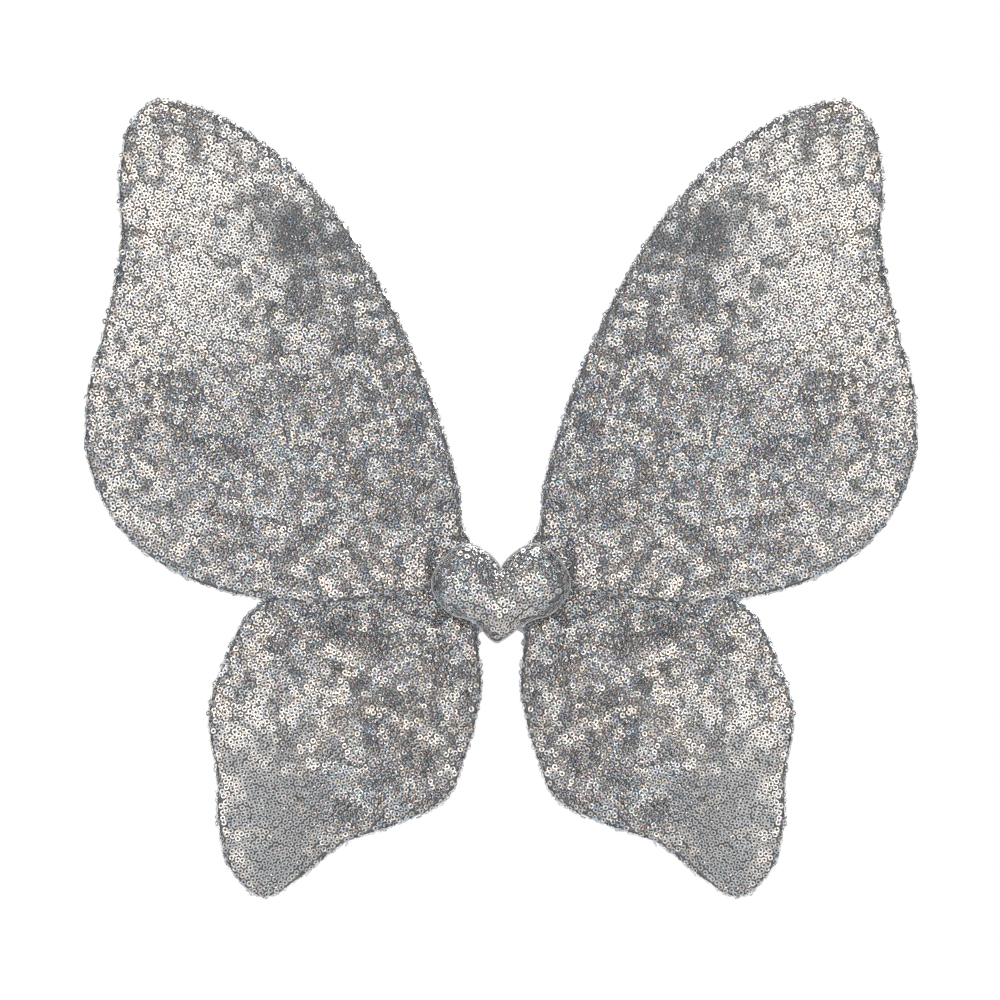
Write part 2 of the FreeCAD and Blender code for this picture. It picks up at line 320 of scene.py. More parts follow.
@dataclass(frozen=True)
class HolographicFilm(Finish):
    """Metallised PET film with a rainbow emboss, punched into sequins.

    Mirror-bright where it faces the light and grey where it doesn't. Its base colour also holds painted
    light
    and shade: each sequin's painted value runs from grey, for painted shade, to cream, for a painted
    highlight.
    The emboss turns some half-millimetre facets another way, so they glint cyan, blue, yellow or pink. A
    real facet is finer than that. The facets of the two wings are mirror images.
    """

    name: str = "holographic_pet_film"
    facet: float = 0.6 * MM
    facet_lean: float = 0.7
    hue_strength: float = 0.7
    scratch: float = 1.6 * MM
    scratch_depth: float = 0.03 * MM
    # Painted light and shade: grey for sequins in painted shade, up to cream for painted highlights.
    silver: tuple[tuple[float, str], ...] = ((0.0, "979CA4"), (0.5, "D2D5D8"), (1.0, "FFF3E9"))
    hues: tuple[tuple[float, str], ...] = (
        (0.0, "9CDDF0"),
        (0.22, "8CAEE8"),
        (0.38, "D4F0F8"),
        (0.52, "B7A6E2"),
        (0.62, "F7E9A6"),
        (0.72, "FFFCF4"),
        (0.9, "F8B8B4"),
    )

    def patterns(self, tree: bpy.types.NodeTree) -> dict:
        """Adds the finish's patterns to a tree.

        Args:
            tree: The material's tree.

        Returns:
            The shader's inputs by name.
        """
        add = partial(add_node, tree)
        # Each sequin's painted light and shade, written by the sequin rows, picks the film's colour from
        # grey to cream.
        tone = add("ShaderNodeAttribute", out="Fac", attribute_name="tone")
        spark = add("ShaderNodeAttribute", out="Fac", attribute_name="spark")
        place = add(COORDINATES, out="Object")
        film = add(RAMP, tone, ramp=self.silver)
        half = add(VECTOR_MATH, place, operation="ABSOLUTE")
        hand = add(MATH, add(SEPARATE, place), operation="SIGN")
        cells = add(
            VORONOI, half, inputs={"Scale": 1 / self.facet}, out="Color", feature="F1"
        )
        red = add("ShaderNodeSeparateColor", cells, out="Red")
        green = add("ShaderNodeSeparateColor", cells, out="Green")
        rainbow = add(RAMP, red, ramp=self.hues)
        rainbow.node.color_ramp.interpolation = "CONSTANT"
        limit = add(MATH, 1.0, spark, operation="SUBTRACT")
        share = add(MATH, green, limit, operation="GREATER_THAN")
        amount = add(MATH, share, self.hue_strength, operation="MULTIPLY")
        shade = add(MIX, inputs={"Factor": amount, 6: film, 7: rainbow}, out=2, data_type="RGBA")
        lean = add(VECTOR_MATH, cells, (0.5, 0.5, 0.5), operation="SUBTRACT")
        reach = add(MATH, share, self.facet_lean, operation="MULTIPLY")
        lean = add(VECTOR_MATH, lean, inputs={"Scale": reach}, operation="SCALE")
        lean = add(VECTOR_MATH, lean, add(COMBINE, hand, 1.0, 1.0), operation="MULTIPLY")
        plain = add("ShaderNodeNewGeometry", out="Normal")
        facets = add(VECTOR_MATH, plain, lean, operation="ADD")
        facets = add(VECTOR_MATH, facets, operation="NORMALIZE")
        scratches = add(NOISE, place, inputs={"Scale": 1 / self.scratch, "Detail": 3.0}, out="Fac")
        bump = {"Height": scratches, "Distance": self.scratch_depth, "Normal": facets}
        return {
            "Base Color": shade,
            "Metallic": 1.0,
            "Roughness": 0.16,
            "Normal": add(BUMP, inputs={"Strength": 1.0, **bump}),
        }


@dataclass(frozen=True)
class SequinNet(Finish):
    """Fine polyester net, warp-knitted, that the sequins are sewn to.

    Soft dark grey between the bright rings, with a hexagonal mesh: the threads keep the net's own grey, and
    the darker middle of each hole is painted shade.
    """

    name: str = "polyester_sequin_net"
    hole: float = 0.7 * MM
    depth: float = 0.12 * MM

    def patterns(self, tree: bpy.types.NodeTree) -> dict:
        """Adds the finish's patterns to a tree.

        Args:
            tree: The material's tree.

        Returns:
            The shader's inputs by name.
        """
        add = partial(add_node, tree)
        place = add(COORDINATES, out="Object")
        mesh = {"Scale": 1 / self.hole, "Randomness": 0.35}
        net = add(VORONOI, place, inputs=mesh, out="Distance", feature="DISTANCE_TO_EDGE")
        # Painted shade: lighter grey threads at the cell edges, darker towards the middle of each hole.
        shades = add(RAMP, net, ramp=((0.04, "929498"), (0.22, "484A4F")))
        return {
            "Base Color": shades,
            "Roughness": 0.75,
            "Sheen Weight": 0.25,
            "Sheen Roughness": 0.4,
            "Normal": add(BUMP, inputs={"Height": shades, "Strength": 1.0, "Distance": self.depth}),
        }


@dataclass(frozen=True)
class SatinLining(Finish):
    """Silver-grey polyester satin, woven with long floats.

    A soft directional shine over long fine threads, with small creases and slightly uneven dye. The threads
    are drawn about four times too coarse, so that they show.
    """

    name: str = "polyester_satin_lining"
    thread: float = 1.1 * MM
    thread_depth: float = 0.15 * MM
    crease_depth: float = 1.6 * MM

    def patterns(self, tree: bpy.types.NodeTree) -> dict:
        """Adds the finish's patterns to a tree.

        Args:
            tree: The material's tree.

        Returns:
            The shader's inputs by name.
        """
        add = partial(add_node, tree)
        place = add(COORDINATES, out="Object")
        broad = add(NOISE, place, inputs={"Scale": 1 / (35 * MM), "Detail": 5.0}, out="Fac")
        shades = add(RAMP, broad, ramp=((0.32, "A6A8AD"), (0.68, "BABCC1")))
        fine = 1 / self.thread
        stretched = {"floats": (fine, 1, fine / 8), "wefts": (fine / 6, 1, fine), "creases": (1, 1, 0.6)}
        ways = {name: add(MAPPING, place, inputs={"Scale": scale}) for name, scale in stretched.items()}
        thread = {"Scale": 1.0, "Detail": 2.0}
        floats = add(NOISE, ways["floats"], inputs=thread, out="Fac")
        wefts = add(NOISE, ways["wefts"], inputs=thread, out="Fac")
        weave = add(MATH, floats, wefts, operation="MULTIPLY")
        layers = {"Factor": 0.4, 6: shades, 7: weave}
        threads = add(MIX, inputs=layers, out=2, data_type="RGBA", blend_type="OVERLAY")
        lifted = add("ShaderNodeHueSaturation", inputs={"Color": threads, "Value": 1.2})
        crease = {"Scale": 1 / (16 * MM), "Detail": 3.0, "Distortion": 1.2}
        creases = add(NOISE, ways["creases"], inputs=crease, out="Fac")
        under = add(BUMP, inputs={"Height": creases, "Strength": 1.0, "Distance": self.crease_depth})
        over = {"Height": weave, "Strength": 1.0, "Distance": self.thread_depth, "Normal": under}
        return {
            "Base Color": lifted,
            "Roughness": 0.33,
            "Anisotropic": 0.6,
            "Sheen Weight": 0.3,
            "Sheen Roughness": 0.3,
            "Normal": add(BUMP, inputs=over),
        }


@dataclass(frozen=True)
class FibreMat(Finish):
    """Pressed or bonded fibres, such as wool felt or polyester wadding.

    Matt, with short tangled hairs and small pills.
    """

    name: str = "wool_felt"
    dark: str = "7E8087"
    light: str = "A3A5AB"
    fibre: float = 0.5 * MM
    depth: float = 0.25 * MM

    def patterns(self, tree: bpy.types.NodeTree) -> dict:
        """Adds the finish's patterns to a tree.

        Args:
            tree: The material's tree.

        Returns:
            The shader's inputs by name.
        """
        add = partial(add_node, tree)
        place = add(COORDINATES, out="Object")
        tangle = {"Scale": 0.35 / self.fibre, "Detail": 6.0, "Distortion": 2.5}
        hair = add(NOISE, place, inputs=tangle, out="Fac")
        pill = add(
            VORONOI, place, inputs={"Scale": 0.25 / self.fibre}, out="Distance", feature="SMOOTH_F1"
        )
        mixed = add(MATH, hair, pill, operation="MULTIPLY")
        return {
            "Base Color": add(RAMP, hair, ramp=((0.35, self.dark), (0.65, self.light))),
            "Roughness": 0.95,
            "Sheen Weight": 0.5,
            "Sheen Roughness": 0.55,
            "Normal": add(BUMP, inputs={"Height": mixed, "Strength": 1.0, "Distance": self.depth}),
        }


@dataclass(frozen=True)
class WovenElastic(Finish):
    """Braided polyester over rubber, in a soft silver grey.

    Lengthwise ribs, fine cross threads and a slight sheen.
    """

    name: str = "woven_elastic"
    pick: float = 0.6 * MM
    cord: float = 1.0 * MM
    depth: float = 0.14 * MM

    def patterns(self, tree: bpy.types.NodeTree) -> dict:
        """Adds the finish's patterns to a tree.

        Args:
            tree: The material's tree.

        Returns:
            The shader's inputs by name.
        """
        add = partial(add_node, tree)
        along = add("ShaderNodeUVMap", uv_map="weave")
        pick = {"Scale": 1 / self.pick / BANDS_PER_UNIT, "Distortion": 0.8, "Detail": 1.0}
        cord = {"Scale": 1 / self.cord / BANDS_PER_UNIT, "Distortion": 0.3}
        picks = add(WAVE, along, inputs=pick, out="Fac", wave_type="BANDS", bands_direction="X")
        cords = add(WAVE, along, inputs=cord, out="Fac", wave_type="BANDS", bands_direction="Y")
        height = add(MATH, picks, cords, operation="MULTIPLY")
        return {
            "Base Color": add(RAMP, height, ramp=((0.0, "A7A9AE"), (0.6, "DADBDD"))),
            "Roughness": 0.62,
            "Sheen Weight": 0.4,
            "Sheen Roughness": 0.4,
            "Normal": add(BUMP, inputs={"Height": height, "Strength": 1.0, "Distance": self.depth}),
        }


@dataclass(frozen=True)
class TwistedThread(Finish):
    """Three-ply spun polyester sewing thread.

    A pale matt strand with a fine diagonal twist.
    """

    name: str = "polyester_sewing_thread"
    twist: float = 0.35 * MM
    depth: float = 0.05 * MM

    def patterns(self, tree: bpy.types.NodeTree) -> dict:
        """Adds the finish's patterns to a tree.

        Args:
            tree: The material's tree.

        Returns:
            The shader's inputs by name.
        """
        add = partial(add_node, tree)
        place = add(COORDINATES, out="Object")
        strand = {"Scale": 1 / self.twist / BANDS_PER_UNIT, "Distortion": 0.5}
        ply = add(WAVE, place, inputs=strand, out="Fac", bands_direction="DIAGONAL")
        return {
            "Base Color": add(RAMP, ply, ramp=((0.0, "B9BBC0"), (1.0, "E3E4E6"))),
            "Roughness": 0.6,
            "Sheen Weight": 0.3,
            "Normal": add(BUMP, inputs={"Height": ply, "Strength": 1.0, "Distance": self.depth}),
        }


@dataclass(frozen=True)
class CoatedWire(Finish):
    """Steel wire in an extruded white PVC coat.

    Smooth and faintly glossy, with drawing marks and a little grime.
    """

    name: str = "pvc_coated_wire"
    mark: float = 1.5 * MM
    depth: float = 0.03 * MM

    def patterns(self, tree: bpy.types.NodeTree) -> dict:
        """Adds the finish's patterns to a tree.

        Args:
            tree: The material's tree.

        Returns:
            The shader's inputs by name.
        """
        add = partial(add_node, tree)
        place = add(COORDINATES, out="Object")
        marks = add(NOISE, place, inputs={"Scale": 1 / self.mark, "Detail": 3.0}, out="Fac")
        return {
            "Base Color": add(RAMP, marks, ramp=((0.0, "D9D7D2"), (1.0, "F1F0EC"))),
            "Roughness": 0.4,
            "Specular IOR Level": 0.5,
            "Coat Weight": 0.1,
            "Normal": add(BUMP, inputs={"Height": marks, "Strength": 1.0, "Distance": self.depth}),
        }


@dataclass(frozen=True)
class CrimpedZinc(Finish):
    """Zinc-plated steel tube, crimped in a press.

    Cool grey metal with blotchy plating and fine scuffs.
    """

    name: str = "zinc_plated_steel"
    scuff: float = 2 * MM
    depth: float = 0.04 * MM

    def patterns(self, tree: bpy.types.NodeTree) -> dict:
        """Adds the finish's patterns to a tree.

        Args:
            tree: The material's tree.

        Returns:
            The shader's inputs by name.
        """
        add = partial(add_node, tree)
        along = add(MAPPING, add(COORDINATES, out="Object"), inputs={"Scale": (1, 1, 6)})
        scuffs = add(NOISE, along, inputs={"Scale": 1 / self.scuff, "Detail": 5.0}, out="Fac")
        return {
            "Base Color": add(RAMP, scuffs, ramp=((0.0, "9FA3A8"), (1.0, "D3D6DA"))),
            "Metallic": 1.0,
            "Roughness": 0.38,
            "Normal": add(BUMP, inputs={"Height": scuffs, "Strength": 1.0, "Distance": self.depth}),
        }


@dataclass(frozen=True)
class PaleFloor(Finish):
    """Matt white studio board."""

    name: str = "matt_white_board"

    def patterns(self, tree: bpy.types.NodeTree) -> dict:
        """Adds the finish's patterns to a tree.

        Args:
            tree: The material's tree.

        Returns:
            The shader's inputs by name.
        """
        add = partial(add_node, tree)
        place = add(COORDINATES, out="Object")
        grain = add(NOISE, place, inputs={"Scale": 60.0, "Detail": 3.0}, out="Fac")
        return {"Base Color": add(RAMP, grain, ramp=((0.0, "ECECEC"), (1.0, "F4F4F4"))), "Roughness": 0.85}


@dataclass
class Finishes:
    """Every finish of the object, built once."""

    film: bpy.types.Material = field(default_factory=lambda: HolographicFilm().build())
    net: bpy.types.Material = field(default_factory=lambda: SequinNet().build())
    satin: bpy.types.Material = field(default_factory=lambda: SatinLining().build())
    felt: bpy.types.Material = field(default_factory=lambda: FibreMat().build())
    wadding: bpy.types.Material = field(
        default_factory=lambda: FibreMat("polyester_wadding", "D9D9D6", "F4F4F2", 0.9 * MM, 0.5 * MM).build()
    )
    elastic: bpy.types.Material = field(default_factory=lambda: WovenElastic().build())
    thread: bpy.types.Material = field(default_factory=lambda: TwistedThread().build())
    wire: bpy.types.Material = field(default_factory=lambda: CoatedWire().build())
    zinc: bpy.types.Material = field(default_factory=lambda: CrimpedZinc().build())


# ---------------------------------------------------------------------------------------------------
# Outlines
# ---------------------------------------------------------------------------------------------------


def chained(edges: Sequence[tuple[int, int]]) -> list[list[int]]:
    """Sorts loose edges into closed loops of vertex numbers.

    Args:
        edges: Pairs of vertex numbers.

    Returns:
        Each loop's vertex numbers, in order.
    """
    beside: dict[int, list[int]] = {}
    for a, b in edges:
        beside.setdefault(a, []).append(b)
        beside.setdefault(b, []).append(a)
    loops = []
    left = set(beside)
    while left:
        start = min(left)
        loop, here, before = [start], start, -1
        left.discard(start)
        while True:
            ends_here = start if len(loop) > 2 else None
            onward = [n for n in beside[here] if n != before and (n in left or n == ends_here)]
            if not onward or onward[0] == start:
                break
            before, here = here, onward[0]
            loop.append(here)
            left.discard(here)
        loops.append(loop)
    return loops


def flat_loops(node: str, facing: Vector, level: float | None = None) -> list[list[Vector]]:
    """The edges of the flat faces of a CAD node that face one way.

    Args:
        node: The CAD node.
        facing: The direction that the faces look in.
        level: How far along that direction they lie, or None for the furthest.

    Returns:
        Closed loops of points, the longest first.
    """
    shape = bmesh.new()
    shape.from_mesh(bpy.data.objects[node].data)
    bmesh.ops.remove_doubles(shape, verts=shape.verts, dist=WELD)
    shape.verts.index_update()
    top = max(v.co.dot(facing) for v in shape.verts) if level is None else level
    flat = {f for f in shape.faces if all(abs(v.co.dot(facing) - top) < LEVEL for v in f.verts)}
    rim = [e for e in shape.edges if sum(f in flat for f in e.link_faces) == 1]
    edges = [(e.verts[0].index, e.verts[1].index) for e in rim]
    points = {v.index: v.co.copy() for v in shape.verts}
    shape.free()
    loops = [[points[i] for i in loop] for loop in chained(edges)]
    return sorted(loops, key=lambda loop: -sum((a - b).length for a, b in zip(loop, loop[1:])))


def spaced(points: Sequence[Vector], count: int, closed: bool) -> list[Vector]:
    """Points at equal steps along a line.

    Args:
        points: The line's corners.
        count: How many points to return.
        closed: Whether the line returns to its start.

    Returns:
        The spaced points.
    """
    path = list(points) + ([points[0]] if closed else [])
    steps = [0.0]
    for a, b in zip(path, path[1:]):
        steps.append(steps[-1] + (b - a).length)
    found = []
    place = 0
    for i in range(count):
        along = steps[-1] * i / (count if closed else count - 1)
        while place < len(steps) - 2 and steps[place + 1] < along:
            place += 1
        span = max(steps[place + 1] - steps[place], 1e-12)
        found.append(path[place].lerp(path[place + 1], (along - steps[place]) / span))
    return found


class Outline:
    """A pad's closed outline in the XZ plane, run so that the pad is on its left."""

    def __init__(self, loop: Sequence[Vector], step: float) -> None:
        """Spaces the outline's points, and stores a denser set for measuring.

        Args:
            loop: The outline's corners, in order.
            step: How far apart its points should be.
        """
        flat = [Vector((p.x, p.z)) for p in loop]
        turn = sum(a.x * b.y - b.x * a.y for a, b in zip(flat, flat[1:] + flat[:1]))
        if turn < 0:
            flat.reverse()
        length = sum((a - b).length for a, b in zip(flat, flat[1:] + flat[:1]))
        self.points = spaced(flat, max(24, round(length / step)), True)
        self.dense_step = 0.4 * MM
        dense = spaced(flat, round(length / self.dense_step), True)
        self.tree = KDTree(len(dense))
        for i, p in enumerate(dense):
            self.tree.insert((p.x, p.y, 0), i)
        self.tree.balance()

    def depth(self, point: Vector) -> float:
        """How far a point is from the outline."""
        return self.tree.find((point.x, point.y, 0))[2]

    def along(self, point: Vector) -> float:
        """How far round the outline the nearest place to a point is."""
        return self.tree.find((point.x, point.y, 0))[1] * self.dense_step

    def inward(self, i: int) -> Vector:
        """The direction into the pad at one point of the outline."""
        way = self.points[(i + 1) % len(self.points)] - self.points[i - 1]
        return Vector((-way.y, way.x)).normalized()

    def holds(self, point: Vector) -> bool:
        """Whether a point is inside the outline.

        Args:
            point: The place in X and Z.

        Returns:
            True inside the outline, and False outside it.
        """
        inside = False
        for a, b in zip(self.points, self.points[1:] + self.points[:1]):
            if (a.y > point.y) != (b.y > point.y):
                if point.x < a.x + (point.y - a.y) / (b.y - a.y) * (b.x - a.x):
                    inside = not inside
        return inside


# ---------------------------------------------------------------------------------------------------
# Repeated parts, made by Geometry Nodes
# ---------------------------------------------------------------------------------------------------


class NodeTree:
    """A Geometry Nodes tree with named inputs, run on one carrier object at a time."""

    name = "tree"
    sizes: dict[str, tuple[str, object]] = {}

    def __init__(self) -> None:
        """Makes the tree's sockets, then fills it."""
        self.tree = bpy.data.node_groups.new(self.name, "GeometryNodeTree")
        self.tree.interface.new_socket("Geometry", in_out="OUTPUT", socket_type="NodeSocketGeometry")
        self.tree.interface.new_socket("Geometry", in_out="INPUT", socket_type="NodeSocketGeometry")
        self.identifiers = {}
        for label, (kind, default) in self.sizes.items():
            socket = self.tree.interface.new_socket(label, in_out="INPUT", socket_type=f"NodeSocket{kind}")
            if default is not None:
                socket.default_value = default
            self.identifiers[label] = socket.identifier
        self.add = partial(add_node, self.tree)
        self.given = self.tree.nodes.new("NodeGroupInput").outputs
        self.add("NodeGroupOutput", self.build())

    def build(self) -> bpy.types.NodeSocket:
        """Fills the tree and returns its last output."""
        raise NotImplementedError

    def run(self, name: str, mesh: bpy.types.Mesh, **values: object) -> bpy.types.Object:
        """Runs the tree on a mesh.

        Args:
            name: The new piece's name.
            mesh: What the tree reads.
            **values: The tree's inputs, with underscores for spaces.

        Returns:
            A new piece with a plain mesh.
        """
        piece = new_object(name, mesh.copy())
        modifier = piece.modifiers.new("Grow", "NODES")
        modifier.node_group = self.tree
        for label, value in values.items():
            modifier[self.identifiers[label.replace("_", " ")]] = value
        return apply_modifiers(piece)


class SequinRows(NodeTree):
    """Cup sequins sewn over a cloth that faces -Y.

    Rows of sequins cover what faces forward, and loose ones the edge that curls away. The cloth's own
    values steer them: calm is how evenly they lie, away how far they lean together, and spark how much
    of the rainbow emboss shows. Each sequin also carries a painted light and shade value, darker where it
    leans away and patchy with noise, which sets the film's colour from grey to cream.
    """

    name = "sequin_rows"
    sizes = {
        "Spacing": ("Float", 2.9 * MM),
        "Row Angle": ("Float", math.radians(17)),
        "Drift": ("Float", 0.55 * MM),
        "Drift Length": ("Float", 11 * MM),
        "Jitter": ("Float", 0.4 * MM),
        "Outer Radius": ("Float", 1.48 * MM),
        "Hole Radius": ("Float", 0.56 * MM),
        "Cup": ("Float", 0.12 * MM),
        "Lift": ("Float", 0.35 * MM),
        "Tilt": ("Float", math.radians(15)),
        "Lean": ("Float", math.radians(30)),
        "Lean Length": ("Float", 8 * MM),
        "Edge Spacing": ("Float", 1.6 * MM),
        "Edge Limit": ("Float", 0.62),
        "Seam Limit": ("Float", -0.2),
        "Loose": ("Float", 0.7 * MM),
        "Band Bottom": ("Float", -1.0),
        "Band Top": ("Float", 1.0),
        "Seed": ("Int", SEED),
        "Material": ("Material", None),
    }

    def ring(self) -> bpy.types.NodeSocket:
        """One sequin: a thin dished ring of 12 sides about Z.

        Returns:
            The sequin's mesh.
        """
        add, given = self.add, self.given
        grid = add("GeometryNodeMeshGrid", 1.0, 1.0, 13, 4)
        here = add(SEPARATE, add(POSITION)).node.outputs
        angle = add(MATH, add(MATH, here["X"], 0.5), -math.tau, operation="MULTIPLY")
        across = add(MATH, here["Y"], 0.5)
        wave = add(MATH, add(MATH, across, math.tau, operation="MULTIPLY"), operation="SINE")
        share = add(MATH, across, add(MATH, wave, 0.2, operation="MULTIPLY"), operation="SUBTRACT")
        width = add(MATH, given["Outer Radius"], given["Hole Radius"], operation="SUBTRACT")
        radius = add(MATH, given["Hole Radius"], add(MATH, width, share, operation="MULTIPLY"))
        dish = add(MATH, add(MATH, across, math.pi, operation="MULTIPLY"), operation="SINE")
        place = add(
            COMBINE,
            add(MATH, add(MATH, angle, operation="COSINE"), radius, operation="MULTIPLY"),
            add(MATH, add(MATH, angle, operation="SINE"), radius, operation="MULTIPLY"),
            add(MATH, dish, given["Cup"], operation="MULTIPLY"),
        )
        bent = add(MOVE, grid, inputs={"Position": place})
        closed = add("GeometryNodeMergeByDistance", bent, inputs={"Distance": 0.005 * MM})
        return add("GeometryNodeSetShadeSmooth", closed, inputs={"Shade Smooth": False})

    def flat_rows(self, cloth: bpy.types.NodeSocket) -> bpy.types.NodeSocket:
        """Staggered rows of points on a plane in front of the cloth, turned and a little uneven.

        Args:
            cloth: The cloth's geometry.

        Returns:
            A grid whose vertices are the places.
        """
        add, given = self.add, self.given
        box = add("GeometryNodeBoundBox", cloth).node.outputs
        span = add(VECTOR_MATH, box["Max"], box["Min"], operation="SUBTRACT")
        corners = add(VECTOR_MATH, box["Max"], box["Min"])
        middle = add(VECTOR_MATH, corners, inputs={"Scale": 0.5}, operation="SCALE")
        sides = add(SEPARATE, span).node.outputs
        pitch = add(MATH, given["Spacing"], math.sqrt(0.75), operation="MULTIPLY")
        reach = add(MATH, add(MATH, sides["X"], 0.45, operation="MULTIPLY"), sides["Z"])
        counts, lengths = [], []
        for step in (given["Spacing"], pitch):
            steps = add(MATH, add(MATH, reach, step, operation="DIVIDE"), operation="CEIL")
            counts.append(add(MATH, steps, 3.0))
            gaps = add(MATH, counts[-1], 1.0, operation="SUBTRACT")
            lengths.append(add(MATH, gaps, step, operation="MULTIPLY"))
        grid = add("GeometryNodeMeshGrid", *lengths, *counts)
        here = add(SEPARATE, add(POSITION)).node.outputs
        up = add(MATH, here["Y"], lengths[1])
        row = add(MATH, add(MATH, up, pitch, operation="DIVIDE"), operation="ROUND")
        half = add(MATH, given["Spacing"], 0.5, operation="MULTIPLY")
        stagger = add(MATH, add(MATH, row, 2.0, operation="MODULO"), half, operation="MULTIPLY")
        flat = add(COMBINE, add(MATH, here["X"], stagger), -0.1, here["Y"])
        turn = {"Axis": (0, 1, 0), "Angle": given["Row Angle"]}
        flat = add("ShaderNodeVectorRotate", flat, inputs=turn, rotation_type="AXIS_ANGLE")
        placed = add(MOVE, grid, inputs={"Position": add(VECTOR_MATH, flat, middle)})
        fine = add(MATH, 1.0, given["Drift Length"], operation="DIVIDE")
        waves = {"Scale": fine, "Detail": 1.0}
        drift = add(NOISE, add(POSITION), inputs=waves, out="Color", noise_dimensions="3D")
        centred = add(VECTOR_MATH, drift, (0.5, 0.5, 0.5), operation="SUBTRACT")
        far = add(MATH, given["Drift"], 4.0, operation="MULTIPLY")
        pushed = add(VECTOR_MATH, centred, inputs={"Scale": far}, operation="SCALE")
        any_way = {"Min": (-1, -1, -1), "Max": (1, 1, 1), "Seed": given["Seed"]}
        chance = add(RANDOM, inputs=any_way, data_type="FLOAT_VECTOR")
        shaken = add(VECTOR_MATH, chance, inputs={"Scale": given["Jitter"]}, operation="SCALE")
        offset = add(VECTOR_MATH, add(VECTOR_MATH, pushed, shaken), (1, 0, 1), operation="MULTIPLY")
        return add(MOVE, placed, inputs={"Offset": offset})

    def rows(self, cloth: bpy.types.NodeSocket) -> bpy.types.NodeSocket:
        """Points in staggered rows on the part of the cloth that faces forward.

        Args:
            cloth: The cloth's geometry.

        Returns:
            The points that landed on the cloth.
        """
        add, given = self.add, self.given
        moved = self.flat_rows(cloth)
        ray = {
            "Target Geometry": cloth,
            "Attribute": add("GeometryNodeInputNormal"),
            "Ray Direction": (0, 1, 0),
            "Ray Length": 0.4,
        }
        cast = add("GeometryNodeRaycast", inputs=ray, data_type="FLOAT_VECTOR").node.outputs
        away = add(SEPARATE, cast["Attribute"], out="Y")
        limit = add(MATH, given["Edge Limit"], -1.0, operation="MULTIPLY")
        steep = add(MATH, away, limit, operation="GREATER_THAN")
        missed = add(MATH, 1.0, cast["Is Hit"], operation="SUBTRACT")
        facing = {"Name": "facing", "Value": cast["Attribute"]}
        noted = add(STORE, moved, inputs=facing, data_type="FLOAT_VECTOR", domain="POINT")
        dropped = {"Name": "dropped", "Value": add(MATH, steep, missed, operation="MAXIMUM")}
        noted = add(STORE, noted, inputs=dropped, data_type="FLOAT", domain="POINT")
        landed = add(MOVE, noted, inputs={"Position": cast["Hit Position"]})
        points = add("GeometryNodeMeshToPoints", landed)
        unwanted = add(MATH, add(READ, "dropped", data_type="FLOAT"), 0.5, operation="GREATER_THAN")
        return add(DELETE, points, inputs={"Selection": unwanted}, domain="POINT")

    def edge(self, cloth: bpy.types.NodeSocket) -> bpy.types.NodeSocket:
        """Loose points on the part of the cloth that curls away at the rim.

        Args:
            cloth: The cloth's geometry.

        Returns:
            The points.
        """
        add, given = self.add, self.given
        away = add(SEPARATE, add("GeometryNodeInputNormal"), out="Y")
        inner = add(MATH, given["Edge Limit"], -1.0, operation="MULTIPLY")
        outer = add(MATH, given["Seam Limit"], -1.0, operation="MULTIPLY")
        past = add(MATH, away, inner, operation="GREATER_THAN")
        before = add(MATH, away, outer, operation="LESS_THAN")
        spread = {
            "Mesh": cloth,
            "Selection": add(MATH, past, before, operation="MULTIPLY"),
            "Distance Min": given["Edge Spacing"],
            "Density Max": 2.0e6,
            "Seed": given["Seed"],
        }
        scatter = "GeometryNodeDistributePointsOnFaces"
        found = add(scatter, inputs=spread, distribute_method="POISSON").node.outputs
        facing = {"Name": "facing", "Value": found["Normal"]}
        noted = add(STORE, found["Points"], inputs=facing, data_type="FLOAT_VECTOR", domain="POINT")
        hang = add(MATH, self.drawn(0.0, 1.0, 11), 4.0, operation="POWER")
        loose = {"Name": "loose", "Value": hang}
        return add(STORE, noted, inputs=loose, data_type="FLOAT", domain="POINT")

    def steered(self, cloth: bpy.types.NodeSocket, name: str) -> bpy.types.NodeSocket:
        """A value that the cloth carries, read at the nearest place on it.

        Args:
            cloth: The cloth's geometry.
            name: The value's name.

        Returns:
            The value at each point.
        """
        value = self.add(READ, name, data_type="FLOAT")
        nearest = {"Mesh": cloth, "Value": value}
        return self.add("GeometryNodeSampleNearestSurface", inputs=nearest, data_type="FLOAT")

    def drawn(self, low: float, high: float, offset: int) -> bpy.types.NodeSocket:
        """A number drawn for each sequin, from a seed of its own."""
        seed = self.add(MATH, self.given["Seed"], float(offset))
        return self.add(RANDOM, inputs={2: low, 3: high, "Seed": seed}, out=1, data_type="FLOAT")

    def noted(self, points: bpy.types.NodeSocket, cloth: bpy.types.NodeSocket) -> bpy.types.NodeSocket:
        """Writes on each point how its sequin lies, its painted light and shade, and its spark.

        Args:
            points: The points.
            cloth: The cloth that steers them.

        Returns:
            The points with their values.
        """
        add, given = self.add, self.given
        calm, away, spark = (self.steered(cloth, name) for name in ("calm", "away", "spark"))
        restless = add(MATH, 1.0, calm, operation="SUBTRACT")
        tipping = add(MATH, add(MATH, restless, 0.3, operation="MULTIPLY"), 0.7)
        patch = add(NOISE, add(POSITION), inputs={"Scale": 1 / (9 * MM), "Detail": 2.0}, out="Fac")
        centred = add(MATH, patch, 0.5, operation="SUBTRACT")
        swing = add(MATH, centred, 1.6, operation="MULTIPLY")
